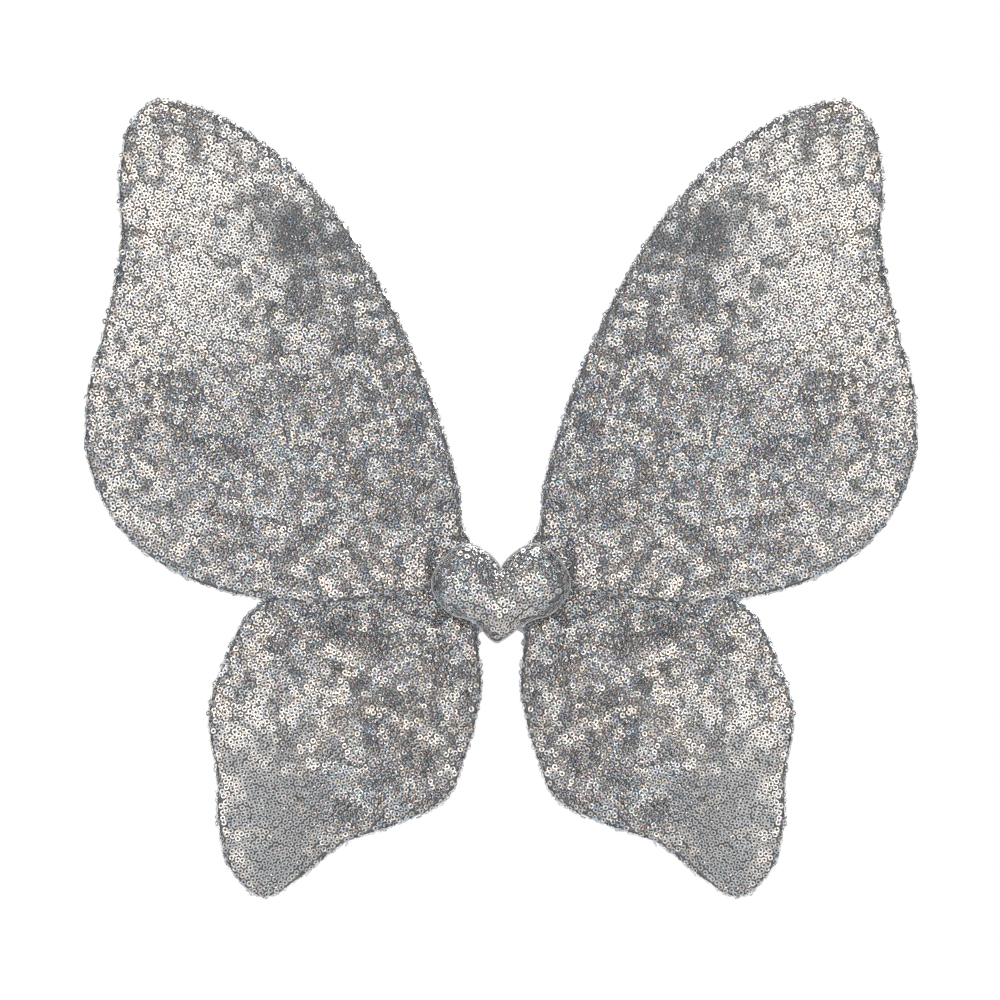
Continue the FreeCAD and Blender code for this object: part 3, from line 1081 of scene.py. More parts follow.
        # Painted shade: the further a sequin leans away, the darker its painted light and shade value; noise
        # and a draw of its own add painted patches of light and shade, more where it lies restless.
        painted_shade_mean = add(MATH, add(MATH, away, -0.42, operation="MULTIPLY"), 0.62)
        painted_light_blotches = add(MATH, swing, self.drawn(-0.3, 0.3, 4))
        painted_light_spread = add(MATH, painted_light_blotches, add(MATH, restless, 0.35), operation="MULTIPLY")
        values = {
            "lean": add(MATH, given["Lean"], restless, operation="MULTIPLY"),
            "tilt": add(MATH, given["Tilt"], tipping, operation="MULTIPLY"),
            "away": away,
            "spark": add(MATH, spark, self.drawn(0.55, 1.3, 3), operation="MULTIPLY"),
            "tone": add(MATH, painted_shade_mean, painted_light_spread),
        }
        for name, value in values.items():
            written = {"Name": name, "Value": value}
            points = add(STORE, points, inputs=written, data_type="FLOAT", domain="POINT")
        return points

    def build(self) -> bpy.types.NodeSocket:
        """Fills the tree.

        Returns:
            The tree's last output.
        """
        add, given = self.add, self.given
        cloth = given["Geometry"]
        points = add("GeometryNodeJoinGeometry", self.edge(cloth))
        self.tree.links.new(self.rows(cloth), points.node.inputs[0])
        level = add(SEPARATE, add(POSITION), out="Z")
        below = add(MATH, level, given["Band Bottom"], operation="LESS_THAN")
        above = add(MATH, level, given["Band Top"], operation="GREATER_THAN")
        outside = add(MATH, add(MATH, below, above, operation="MAXIMUM"), 0.5, operation="GREATER_THAN")
        kept = add(DELETE, points, inputs={"Selection": outside}, domain="POINT")
        kept = self.noted(kept, cloth)
        loose, away, lean, tilt = (
            add(READ, name, data_type="FLOAT") for name in ("loose", "away", "lean", "tilt")
        )
        facing = add(READ, "facing", data_type="FLOAT_VECTOR")
        lift = add(MATH, given["Lift"], self.drawn(0.6, 1.8, 5), operation="MULTIPLY")
        lift = add(MATH, lift, add(MATH, loose, given["Loose"], operation="MULTIPLY"))
        raised = add(VECTOR_MATH, facing, inputs={"Scale": lift}, operation="SCALE")
        kept = add(MOVE, kept, inputs={"Offset": raised})
        fine = add(MATH, 1.0, given["Lean Length"], operation="DIVIDE")
        common = add(NOISE, add(POSITION), inputs={"Scale": fine, "Detail": 1.5}, out="Color")
        centred = add(VECTOR_MATH, common, (0.5, 0.5, 0.5), operation="SUBTRACT")
        strong = add(MATH, lean, 4.0, operation="MULTIPLY")
        wander = add(VECTOR_MATH, centred, inputs={"Scale": strong}, operation="SCALE")
        together = add(VECTOR_MATH, add(COMBINE, away, 0.0, away), LEAN_TOGETHER, operation="MULTIPLY")
        leaned = add(VECTOR_MATH, facing, add(VECTOR_MATH, wander, together))
        leaned = add(VECTOR_MATH, leaned, operation="NORMALIZE")
        turn = add("FunctionNodeAlignRotationToVector", inputs={"Vector": leaned}, axis="Z")
        tip = add(MATH, tilt, add(MATH, loose, 0.5, operation="MULTIPLY"))
        own = add(
            COMBINE,
            add(MATH, tip, self.drawn(-1.0, 1.0, 6), operation="MULTIPLY"),
            add(MATH, tip, self.drawn(-1.0, 1.0, 7), operation="MULTIPLY"),
            self.drawn(0.0, math.tau, 8),
        )
        own = add("FunctionNodeEulerToRotation", own)
        turn = add("FunctionNodeRotateRotation", turn, own, rotation_space="LOCAL")
        laid = {"Instance": self.ring(), "Rotation": turn, "Scale": self.drawn(0.96, 1.06, 9)}
        sewn = add("GeometryNodeInstanceOnPoints", kept, inputs=laid)
        real = add("GeometryNodeRealizeInstances", sewn)
        return add("GeometryNodeSetMaterial", real, inputs={"Material": given["Material"]})


class RunningStitch(NodeTree):
    """Stitches of one length along a line of edges."""

    name = "running_stitch"
    sizes = {
        "Pitch": ("Float", 3.2 * MM),
        "Length": ("Float", 2.3 * MM),
        "Thickness": ("Float", 0.5 * MM),
        "Seed": ("Int", SEED),
        "Material": ("Material", None),
    }

    def build(self) -> bpy.types.NodeSocket:
        """Fills the tree.

        Returns:
            The tree's last output.
        """
        add, given = self.add, self.given
        line = add("GeometryNodeMeshToCurve", given["Geometry"])
        spacing = {"Length": given["Pitch"]}
        even = add("GeometryNodeCurveToPoints", line, inputs=spacing, mode="LENGTH").node.outputs
        way = {"Vector": even["Tangent"]}
        turn = add("FunctionNodeAlignRotationToVector", inputs=way, axis="X")
        uneven = {"Min": (-0.05, -0.05, -0.12), "Max": (0.05, 0.05, 0.12), "Seed": given["Seed"]}
        wobble = add(RANDOM, inputs=uneven, data_type="FLOAT_VECTOR")
        own = add("FunctionNodeEulerToRotation", wobble)
        turn = add("FunctionNodeRotateRotation", turn, own, rotation_space="LOCAL")
        bead = add("GeometryNodeMeshUVSphere", 8, 5, 0.5)
        shape = add(COMBINE, given["Length"], given["Thickness"], given["Thickness"])
        laid = {"Instance": bead, "Rotation": turn, "Scale": shape}
        sewn = add("GeometryNodeInstanceOnPoints", even["Points"], inputs=laid)
        real = add("GeometryNodeRealizeInstances", sewn)
        soft = add("GeometryNodeSetShadeSmooth", real, inputs={"Shade Smooth": True})
        return add("GeometryNodeSetMaterial", soft, inputs={"Material": given["Material"]})


def line_mesh(points: Sequence[Vector], closed: bool) -> bpy.types.Mesh:
    """A mesh of edges only, along a line of points.

    Args:
        points: The line's points.
        closed: Whether it returns to its start.

    Returns:
        The mesh.
    """
    mesh = bpy.data.meshes.new("line")
    edges = [(i, i + 1) for i in range(len(points) - 1)]
    if closed:
        edges.append((len(points) - 1, 0))
    mesh.from_pydata([tuple(p) for p in points], edges, [])
    return mesh


# ---------------------------------------------------------------------------------------------------
# Padded panels
# ---------------------------------------------------------------------------------------------------


@dataclass(frozen=True)
class Patch:
    """A soft-edged area of a panel where its sequins lie in their own way. Its away value also darkens the
    sequins' painted shade.

    The place is in percent of the panel's width, from its left, and of its height, from its bottom.
    """

    across: float
    up: float
    radius: float
    calm: float = 0.0
    away: float = 0.0
    spark: float = 0.0


@dataclass
class Panel:
    """A pad of two cloths sewn together round an outline, and blown up by its filling."""

    name: str
    front_node: str
    back_node: str
    step: float = 5 * MM
    insets: tuple[float, ...] = (0.45 * MM, 1.2 * MM, 2.2 * MM, 3.2 * MM, 4.2 * MM, 5.4 * MM)
    pressure: float = 1.6
    slack: float = 0.03
    cap: float = 1.0 * MM
    cap_reach: float = 40 * MM
    frames: int = 16
    cloth_thickness: float = 0.5 * MM
    patches: tuple[Patch, ...] = ()
    base: Patch = Patch(50, 50, 1.0, calm=0.4, away=0.3, spark=0.3)

    def __post_init__(self) -> None:
        """Reads the pad's size and outline from its CAD nodes."""
        low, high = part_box(self.front_node)
        self.low, self.high = low, high
        self.seam = high.y
        self.front_depth = high.y - low.y
        self.back_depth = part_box(self.back_node)[1].y - high.y
        loop = flat_loops(self.front_node, Vector((0, 1, 0)))[0]
        self.outline = Outline([self.settled(p) for p in loop], self.outline_step)

    @property
    def outline_step(self) -> float:
        """The spacing of the points on the outline."""
        return 0.62 * self.step

    def settled(self, point: Vector) -> Vector:
        """Where sewing pulls one point of the cut outline to."""
        return point

    def rise(self, point: Vector, depth: float, face: Face) -> float:
        """How far a face stands from the seam plane.

        Args:
            point: The place in X and Z.
            depth: The distance from the outline.
            face: Which face.

        Returns:
            The height in metres, before the simulation.
        """
        raise NotImplementedError

    def freedom(self, point: Vector, face: Face) -> float:
        """How much of the simulated bulge is kept at a place, from 0 to 1."""
        return 1.0

    def flat_points(self) -> list[Vector]:
        """The outline's points, then rows inside it, then a staggered grid.

        Returns:
            The points in X and Z.
        """
        found = list(self.outline.points)
        for inset in self.insets:
            for i, p in enumerate(self.outline.points):
                moved = p + self.outline.inward(i) * inset
                if self.outline.depth(moved) > 0.94 * inset:
                    found.append(moved)
        margin = self.insets[-1] + 0.55 * self.step
        rows = math.ceil((self.high.z - self.low.z) / (self.step * ROW_RISE))
        columns = math.ceil((self.high.x - self.low.x) / self.step) + 1
        for row in range(rows):
            for column in range(columns):
                p = Vector(
                    (
                        self.low.x + (column + 0.5 * (row % 2)) * self.step,
                        self.low.z + row * self.step * ROW_RISE,
                    )
                )
                if self.outline.depth(p) > margin and self.outline.holds(p):
                    found.append(p)
        return found

    def closed_pad(self) -> tuple[bpy.types.Object, list[Vector], int]:
        """The pad before its filling swells it.

        Returns:
            The closed mesh, its flat points and how many of them are on the outline.
        """
        points = self.flat_points()
        count = len(self.outline.points)
        ring = list(range(count))
        verts, _, faces, _, _, _ = delaunay_2d_cdt(points, [], [ring], 1, 1e-7)
        flat = [Vector(v) for v in verts]
        depths = [0.0 if i < count else self.outline.depth(p) for i, p in enumerate(flat)]
        front = [(p.x, self.seam - self.rise(p, d, Face.FRONT), p.y) for p, d in zip(flat, depths)]
        back = [
            (p.x, self.seam + self.rise(p, d, Face.BACK), p.y)
            for p, d in zip(flat[count:], depths[count:])
        ]
        shift = len(front) - count
        behind = [tuple(i if i < count else i + shift for i in f) for f in faces]
        mesh = bpy.data.meshes.new(self.name)
        mesh.from_pydata(front + back, [], [tuple(reversed(f)) for f in faces] + behind)
        sides = mesh.attributes.new("behind", "INT", "FACE")
        sides.data.foreach_set("value", [0] * len(faces) + [1] * len(behind))
        shape = bmesh.new()
        shape.from_mesh(mesh)
        bmesh.ops.recalc_face_normals(shape, faces=shape.faces)
        shape.to_mesh(mesh)
        shape.free()
        return new_object(f"{self.name}_pad", mesh), flat, count

    def filled(self) -> bpy.types.Object:
        """The pad after a cloth simulation of its filling, with each point's move capped.

        Returns:
            The pad's closed mesh.
        """
        pad, flat, count = self.closed_pad()
        total = len(pad.data.vertices)
        start = np.empty(total * 3)
        pad.data.vertices.foreach_get("co", start)
        start = start.reshape(-1, 3)
        group = pad.vertex_groups.new(name="seam")
        places = flat + flat[count:]
        held = [i for i in range(total) if i < count or self.outline.depth(places[i]) < self.insets[-2]]
        group.add(held, 1.0, "REPLACE")
        cloth = pad.modifiers.new("Fill", "CLOTH")
        cloth.settings.quality = 6
        cloth.settings.mass = 0.2
        cloth.settings.vertex_group_mass = "seam"
        cloth.settings.use_pressure = True
        cloth.settings.uniform_pressure_force = self.pressure
        cloth.settings.shrink_min = -self.slack
        cloth.settings.bending_stiffness = 0.4
        cloth.settings.effector_weights.gravity = 0
        cloth.collision_settings.use_collision = False
        cloth.point_cache.frame_start = 1
        cloth.point_cache.frame_end = self.frames
        for frame in range(1, self.frames + 1):
            bpy.context.scene.frame_set(frame)
        swollen = np.empty(total * 3)
        plain_mesh(pad).vertices.foreach_get("co", swollen)
        pad.modifiers.clear()
        bpy.context.scene.frame_set(1)
        move = swollen.reshape(-1, 3) - start
        for i in range(total):
            face = Face.FRONT if i < len(flat) else Face.BACK
            ramp = smooth(self.insets[-2], self.cap_reach, self.outline.depth(places[i]))
            limit = self.cap * ramp * self.freedom(places[i], face)
            move[i] = np.clip(move[i], -limit, limit)
            move[i][1] = face.value * max(face.value * move[i][1], 0.0)
        done = np.round(start + move, 6)
        log.info("%s: filling moved the cloth by up to %.2f mm", self.name, np.abs(move).max() / MM)
        pad.data.vertices.foreach_set("co", done.ravel())
        pad.data.update()
        return pad

    def cloths(self) -> dict[Face, bpy.types.Object]:
        """The two cloths of the pad, each a smooth sheet with no thickness.

        Returns:
            The sheet of each face.
        """
        pad = self.filled()
        result = {}
        for face in Face:
            shape = bmesh.new()
            shape.from_mesh(pad.data)
            layer = shape.faces.layers.int["behind"]
            keep = 1 if face is Face.BACK else 0
            bmesh.ops.delete(shape, geom=[f for f in shape.faces if f[layer] != keep], context="FACES")
            mesh = bpy.data.meshes.new(f"{self.name}_{face.name.lower()}")
            shape.to_mesh(mesh)
            shape.free()
            sheet = new_object(mesh.name, mesh)
            rounding = sheet.modifiers.new("Round", "SUBSURF")
            rounding.levels = rounding.render_levels = 1
            shade_smooth(apply_modifiers(sheet).data)
            result[face] = sheet
        bpy.data.objects.remove(pad)
        return result

    def thicken(self, sheet: bpy.types.Object, material: bpy.types.Material) -> bpy.types.Object:
        """Gives a cloth its thickness, inwards, and its material.

        Args:
            sheet: The cloth.
            material: Its finish.

        Returns:
            The same sheet.
        """
        wall = sheet.modifiers.new("Cloth", "SOLIDIFY")
        wall.thickness = self.cloth_thickness
        wall.offset = -1
        apply_modifiers(sheet)
        sheet.data.materials.clear()
        sheet.data.materials.append(material)
        return sheet

    def steer(self, sheet: bpy.types.Object) -> None:
        """Writes on a cloth how the sequins lie at each place, which also sets their painted light and
        shade.

        Args:
            sheet: The front cloth, whose vertices take the values.
        """
        points = [v.co for v in sheet.data.vertices]
        width, height = self.high.x - self.low.x, self.high.z - self.low.z
        for name in ("calm", "away", "spark"):
            values = []
            for co in points:
                value = getattr(self.base, name)
                for patch in self.patches:
                    place = Vector(
                        (
                            co.x - self.low.x - width * patch.across / 100,
                            co.z - self.low.z - height * patch.up / 100,
                        )
                    )
                    ragged = 1 + 0.5 * noise.noise(co * 60)
                    weight = math.exp(-((place.length / (patch.radius * ragged)) ** 2))
                    value += getattr(patch, name) * weight
                values.append(min(max(value, 0.0), 1.0))
            layer = sheet.data.attributes.new(name, "FLOAT", "POINT")
            layer.data.foreach_set("value", values)


@dataclass
class Lobe(Panel):
    """One wing lobe: a wire-rimmed pad, flat where it meets its neighbours."""

    puff: float = 2.4 * MM
    back_puff: float = 1.2 * MM
    puff_reach: float = 38 * MM
    roll: float = 0.7 * MM
    roll_length: float = 38 * MM
    stitch_line: float = 4.2 * MM
    stitch_dip: float = 0.7 * MM
    pucker_length: float = 9 * MM
    clear_front: Callable[[Vector], float] = lambda point: 1.0
    clear_back: Callable[[Vector], float] = lambda point: 1.0

    def rise(self, point: Vector, depth: float, face: Face) -> float:
        """The half-round rim, then the wadding's gentle swell and rolls, with a sewn channel at the back.

        Args:
            point: The place in X and Z.
            depth: The distance from the outline.
            face: Which face.

        Returns:
            The height in metres.
        """
        full = self.front_depth if face is Face.FRONT else self.back_depth
        curl = 1 - min(depth / full, 1.0)
        height = full * math.sqrt(max(1 - curl * curl, 0.0))
        inside = 1 - math.exp(-max(depth - full, 0.0) / self.puff_reach)
        swell = self.puff if face is Face.FRONT else self.back_puff
        wave = noise.noise(Vector((point.x, face.value, point.y)) / self.roll_length)
        wave += 0.45 * noise.noise(Vector((point.x, face.value + 5, point.y)) / (0.45 * self.roll_length))
        rolls = smooth(full, 35 * MM, depth) * self.roll * wave
        bulge = max(inside * swell + rolls, 0.0) * self.freedom(point, face)
        if face is Face.FRONT:
            return height + bulge
        near = math.exp(-(((depth - self.stitch_line) / (1.1 * MM)) ** 2))
        gather = 0.5 + 0.5 * math.sin(math.tau * self.outline.along(point) / self.pucker_length)
        beside = math.exp(-(((depth - self.stitch_line - 3 * MM) / (3 * MM)) ** 2))
        return height + bulge - self.stitch_dip * near + 0.45 * MM * gather * beside

    def freedom(self, point: Vector, face: Face) -> float:
        """Nothing beside the heart or the neighbouring lobe, and everything further out."""
        return self.clear_front(point) if face is Face.FRONT else self.clear_back(point)


@dataclass
class HeartPad(Panel):
    """The padded heart, domed at the front and nearly flat at the back."""

    step: float = 2.6 * MM
    insets: tuple[float, ...] = (0.3 * MM, 0.9 * MM, 1.8 * MM, 3.0 * MM)
    pressure: float = 1.2
    cap: float = 0.8 * MM
    cap_reach: float = 8 * MM
    steepness: float = 0.52
    sewn_in: float = 0.8 * MM

    def __post_init__(self) -> None:
        """Reads the CAD nodes, and finds how far the pad's middle is from its outline."""
        super().__post_init__()
        self.widest = max(self.outline.depth(p) for p in self.flat_points())

    def settled(self, point: Vector) -> Vector:
        """The tip is drawn narrow and a little to one side."""
        narrow = 1 - 0.22 * smooth(-13 * MM, -23 * MM, point.z)
        return Vector((point.x * narrow - 2 * MM * smooth(-14 * MM, -26 * MM, point.z), point.y, point.z))

    def rise(self, point: Vector, depth: float, face: Face) -> float:
        """A dome that climbs steeply from the seam at the front, and a shallow one at the back.

        Args:
            point: The place in X and Z.
            depth: The distance from the outline.
            face: Which face.

        Returns:
            The height in metres.
        """
        if face is Face.BACK:
            return (self.back_depth - self.sewn_in) * (1 - (1 - min(depth / self.widest, 1.0)) ** 2)
        full = self.front_depth - self.sewn_in
        return full * (1 - (1 - min(depth / self.widest, 1.0)) ** 3) ** self.steepness

    def freedom(self, point: Vector, face: Face) -> float:
        """The back stays nearly as it was cut, so the wings clear it when they fold forward."""
        return 1.0 if face is Face.FRONT else 0.25

    def stuffing(self, inset: float, material: bpy.types.Material) -> bpy.types.Object:
        """The fibre filling: the pad's own closed shape, a little smaller.

        Args:
            inset: How far it lies inside the covers.
            material: Its finish.

        Returns:
            The filling.
        """
        inner = self.filled()
        inner.name = "heart_fibre_filling"
        shrunk = [v.co - v.normal * inset for v in inner.data.vertices]
        for v, co in zip(inner.data.vertices, shrunk):
            v.co = co
        rounding = inner.modifiers.new("Round", "SUBSURF")
        rounding.levels = rounding.render_levels = 1
        shade_smooth(apply_modifiers(inner).data)
        inner.data.materials.clear()
        inner.data.materials.append(material)
        return inner


# ---------------------------------------------------------------------------------------------------
# The object
# ---------------------------------------------------------------------------------------------------


@dataclass
class Wings:
    """The four lobes and everything sewn to them, made on the left and mirrored to the right."""

    finishes: Finishes
    sequins: SequinRows
    stitches: RunningStitch
    heart_reach: float = 44 * MM

    def upper(self) -> Lobe:
        """The upper left lobe, which lies in front of the lower one.

        Returns:
            The lobe.
        """
        return Lobe(
            name="left_upper",
            front_node="left_upper_sequin_cover",
            back_node="left_upper_lining",
            clear_front=lambda p: smooth(
                self.heart_reach, self.heart_reach + 30 * MM, Vector((p.x, p.y)).length
            ),
            clear_back=lambda p: smooth(8 * MM, 34 * MM, p.y),
            base=Patch(50, 50, 1.0, calm=0.25, away=0.08, spark=0.5),
            patches=(
                Patch(35, 88, 45 * MM, calm=0.5, away=0.06, spark=-0.3),
                Patch(57, 72, 30 * MM, calm=0.4, away=0.55, spark=-0.15),
                Patch(30, 60, 40 * MM, calm=0.45, away=0.1, spark=-0.2),
                Patch(10, 50, 22 * MM, calm=0.1, away=-0.1, spark=-0.2),
                Patch(70, 52, 30 * MM, calm=0.3, away=0.15, spark=-0.1),
                Patch(45, 34, 60 * MM, calm=-0.1, away=0.1, spark=0.3),
                Patch(85, 22, 30 * MM, calm=-0.1, away=0.1, spark=0.25),
                Patch(20, 18, 26 * MM, calm=0.3, away=0.2, spark=-0.2),
            ),
        )

    def lower(self) -> Lobe:
        """The lower left lobe.

        Returns:
            The lobe.
        """
        return Lobe(
            name="left_lower",
            front_node="left_lower_sequin_cover",
            back_node="left_lower_lining",
            clear_front=lambda p: smooth(-9 * MM, -30 * MM, p.y),
            clear_back=lambda p: smooth(14 * MM, 34 * MM, -p.x),
            base=Patch(50, 50, 1.0, calm=0.3, away=0.08, spark=0.48),
            patches=(
                Patch(20, 40, 34 * MM, calm=0.6, away=0.3, spark=-0.35),
                Patch(25, 10, 30 * MM, calm=0.6, away=0.25, spark=-0.35),
                Patch(75, 95, 34 * MM, calm=-0.2, away=0.35, spark=0.4),
                Patch(35, 90, 26 * MM, calm=-0.2, away=0.2, spark=0.35),
                Patch(70, 60, 34 * MM, calm=-0.1, away=-0.3, spark=0.0),
                Patch(60, 33, 24 * MM, calm=-0.2, away=0.3, spark=0.4),
            ),
        )

    def dress(self, lobe: Lobe, bands: Sequence[float]) -> None:
        """Makes a left lobe's cloths, sequins and stitches, and their copies on the right.

        Args:
            lobe: The lobe.
            bands: The heights between which each piece of its sequins lies.
        """
        part = lobe.name.split("_")[1]
        sheets = lobe.cloths()
        lobe.steer(sheets[Face.FRONT])
        made: list[tuple[bpy.types.Object, str, list[str], bool]] = []
        cloth_mesh = sheets[Face.FRONT].data
        for i, (bottom, top) in enumerate(zip(bands, bands[1:])):
            name = f"left_{part}_sequins" + (f"_{i + 1}" if len(bands) > 2 else "")
            rows = self.sequins.run(
                name, cloth_mesh, Material=self.finishes.film, Band_Bottom=bottom, Band_Top=top
            )
            made.append((rows, "sequin_cloth", [], False))
        seam = [Vector((p.x, lobe.seam + 0.9 * MM, p.y)) for p in lobe.outline.points]
        rim = self.stitches.run(
            f"left_{part}_rim_stitches",
            line_mesh(seam, True),
            Material=self.finishes.thread,
            Pitch=3.4 * MM,
            Length=2.2 * MM,
            Thickness=0.45 * MM,
        )
        made.append((rim, "lining_cloth", [], False))
        inner = [
            p + lobe.outline.inward(i) * lobe.stitch_line for i, p in enumerate(lobe.outline.points)
        ]
        row = [p for p in inner if lobe.outline.depth(p) > 0.9 * lobe.stitch_line]
        lining = sheets[Face.BACK].data
        back = BVHTree.FromPolygons([v.co for v in lining.vertices], [p.vertices for p in lining.polygons])
        laid = []
        for p in spaced([Vector((p.x, 0, p.y)) for p in row], 2 * len(row), True):
            hit = back.ray_cast(Vector((p.x, 0.1, p.z)), Vector((0, -1, 0)))[0]
            if hit is not None:
                laid.append(hit + Vector((0, 0.05 * MM, 0)))
        topstitch = self.stitches.run(
            f"left_{part}_topstitch",
            line_mesh(laid, True),
            Material=self.finishes.thread,
            Pitch=3.3 * MM,
            Length=2.4 * MM,
            Thickness=0.5 * MM,
        )
        made.append((topstitch, "lining_cloth", [], False))
        net = lobe.thicken(sheets[Face.FRONT], self.finishes.net)
        net.name = f"left_{part}_sequin_net"
        satin = lobe.thicken(sheets[Face.BACK], self.finishes.satin)
        satin.name = f"left_{part}_satin"
        made.append((net, "sequin_cloth", [f"left_{part}_sequin_cover"], True))
        made.append((satin, "lining_cloth", [f"left_{part}_lining"], True))
        for piece, slot, nodes, padded in made:
            for side in Side:
                own = piece
                if side is Side.RIGHT:
                    own = mirrored(piece, piece.name.replace("left", "right"))
                replaced = [node.replace("left", side.label) for node in nodes]
                settle(own, f"{side.label}_{part}_wing", replaced)

    def build(self) -> None:
        """Makes all four lobes."""
        upper, lower = self.upper(), self.lower()
        top = upper.high.z + 10 * MM
        self.dress(upper, (-50 * MM, 72 * MM, 148 * MM, top))
        self.dress(lower, (lower.low.z - 10 * MM, -72 * MM, 50 * MM))


@dataclass
class Heart:
    """The padded heart with its sequins and seam piping."""

    finishes: Finishes
    sequins: SequinRows
    stitches: RunningStitch

    def build(self) -> None:
        """Makes the heart's pieces."""
        pad = HeartPad(
            name="heart",
            front_node="heart_sequin_cover",
            back_node="heart_back_cover",
            base=Patch(50, 50, 1.0, calm=0.55, away=0.0, spark=0.5),
            patches=(
                Patch(50, 20, 14 * MM, calm=0.2, spark=-0.3),
                Patch(25, 55, 12 * MM, calm=0.0, away=0.2, spark=0.3),
            ),
        )
        sheets = pad.cloths()
        pad.steer(sheets[Face.FRONT])
        sequins = self.sequins.run(
            "heart_sequins",
            sheets[Face.FRONT].data,
            Material=self.finishes.film,
            Edge_Limit=0.75,
            Seam_Limit=0.2,
            Tilt=math.radians(11),
            Lean=math.radians(22),
            Edge_Spacing=2.2 * MM,
            Loose=0.0,
            Drift=0.6 * MM,
        )
        settle(sequins, "centre")
        net = pad.thicken(sheets[Face.FRONT], self.finishes.net)
        net.name = "heart_sequin_net"
        settle(net, "centre", ["heart_sequin_cover"])
        back = pad.thicken(sheets[Face.BACK], self.finishes.satin)
        back.name = "heart_satin"
        settle(back, "centre", ["heart_back_cover"])
        filling = pad.stuffing(1.1 * MM, self.finishes.wadding)
        settle(filling, "centre", ["heart_filling"])
        self.piping(pad)

    def piping(self, pad: HeartPad) -> None:
        """The corded seam round the heart's edge.

        Args:
            pad: The heart's pad.
        """
        line = bpy.data.curves.new("heart_piping", "CURVE")
        line.dimensions = "3D"
        line.bevel_depth = 0.75 * MM
        line.bevel_resolution = 2
        line.use_fill_caps = True
        spline = line.splines.new("POLY")
        spline.points.add(len(pad.outline.points) - 1)
        for i, (point, p) in enumerate(zip(spline.points, pad.outline.points)):
            inner = p + pad.outline.inward(i) * 0.15 * MM
            point.co = (inner.x, pad.seam - 0.8 * MM, inner.y, 1)
        spline.use_cyclic_u = True
        holder = bpy.data.objects.new("line", line)
        bpy.context.scene.collection.objects.link(holder)
        piece = new_object("heart_piping", plain_mesh(holder))
        bpy.data.objects.remove(holder)
        shade_smooth(piece.data)
        piece.data.materials.clear()
        piece.data.materials.append(self.finishes.thread)
        settle(piece, "centre")


@dataclass
class ArmLoop:
    """One elastic arm loop, from its upper sewn end round the arm to its lower one."""

    finishes: Finishes
    side: Side
    ribs: int = 9
    rib_height: float = 0.16 * MM
    step: float = 2.2 * MM
    across: int = 54

    def centreline(self) -> tuple[list[Vector], Vector, float, float]:
        """Reads the loop's route from its CAD band.

        Returns:
            The points, the direction of its width, its width and its thickness.
        """
        node = f"{self.side.label}_strap"
        mesh = bpy.data.objects[node].data
        wide = max((p for p in mesh.polygons if abs(p.normal.z) < 1e-3), key=lambda p: p.area).normal.copy()
        if wide.x < 0:
            wide.negate()
        distances = [v.co.dot(wide) for v in mesh.vertices]
        width = max(distances) - min(distances)
        loop = flat_loops(node, wide)[0]
        spans = [((a - b).length, i) for i, (a, b) in enumerate(zip(loop, loop[1:] + loop[:1]))]
        near = min(p.y for p in loop)
        ends = []
        for upper in (True, False):
            found = [
                (abs(loop[i].y + loop[(i + 1) % len(loop)].y - 2 * near), length, i)
                for length, i in spans
                if (loop[i].z > 0) is upper and (loop[(i + 1) % len(loop)].z > 0) is upper
                and abs(loop[i].z - loop[(i + 1) % len(loop)].z) < 0.05 * MM
                and loop[i].y < near + 3 * MM
            ]
            ends.append(min(found))
        thickness = ends[0][1]
        first, last = ends[0][2], ends[1][2]
        count = len(loop)
        one = [loop[(first + 1 + k) % count] for k in range((last - first) % count)]
        other = [loop[(first - k) % count] for k in range((first - last) % count)]
        length = sum((a - b).length for a, b in zip(one, one[1:]))
        steps = round(length / self.step)
        pairs = zip(spaced(one, steps, False), spaced(other, steps, False))
        middle = [(a + b) / 2 - wide * (width / 2) for a, b in pairs]
        return middle, wide, width, thickness

    def build(self) -> None:
        """Makes the ribbed band, with its ends running into the block."""
        route, wide, width, thickness = self.centreline()
        tuck = 6 * MM
        top, bottom = route[0], route[-1]
        route = [top + Vector((0, 0, -tuck)), top + Vector((0, 0, -tuck / 2)), *route]
        route += [bottom + Vector((0, 0, tuck / 2)), bottom + Vector((0, 0, tuck))]
        profile = []
        for face in (1, -1):
            for k in range(self.across):
                t = k / (self.across - 1) * 2 - 1
                edge = math.sqrt(max(1 - abs(t) ** 10, 0.0))
                rib = self.rib_height * abs(math.cos(math.pi * self.ribs * (t + 1) / 2))
                profile.append((face * t * width / 2, face * edge * (thickness / 2 - self.rib_height + rib)))
        verts, faces, uvs = [], [], []
        along = 0.0
        for i, here in enumerate(route):
            before, after = route[max(i - 1, 0)], route[min(i + 1, len(route) - 1)]
            out = (after - before).normalized().cross(wide).normalized()
            along += (here - before).length
            for w, n in profile:
                verts.append(here + wide * w + out * n)
                uvs.append((along, w))
        count = len(profile)
        for i in range(len(route) - 1):
            for k in range(count):
                a, b = i * count + k, i * count + (k + 1) % count
                faces.append((a, b, b + count, a + count))
        faces += [tuple(reversed(range(count))), tuple(range(len(verts) - count, len(verts)))]
        mesh = bpy.data.meshes.new(f"{self.side.label}_elastic_loop")
        mesh.from_pydata([tuple(v) for v in verts], [], faces)
        layer = mesh.uv_layers.new(name="weave")
        for corner in mesh.loops:
            layer.data[corner.index].uv = uvs[corner.vertex_index]
        shape = bmesh.new()
        shape.from_mesh(mesh)
        bmesh.ops.recalc_face_normals(shape, faces=shape.faces)
        shape.to_mesh(mesh)
        shape.free()
        shade_smooth(mesh)
        mesh.materials.append(self.finishes.elastic)
        band = new_object(mesh.name, mesh)
        f"{self.side.label}_arm_loop"
        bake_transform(band)
        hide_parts(f"{self.side.label}_strap", f"{self.side.label}_strap_ends")
        log.info("%s: %d faces", band.name, len(mesh.polygons))


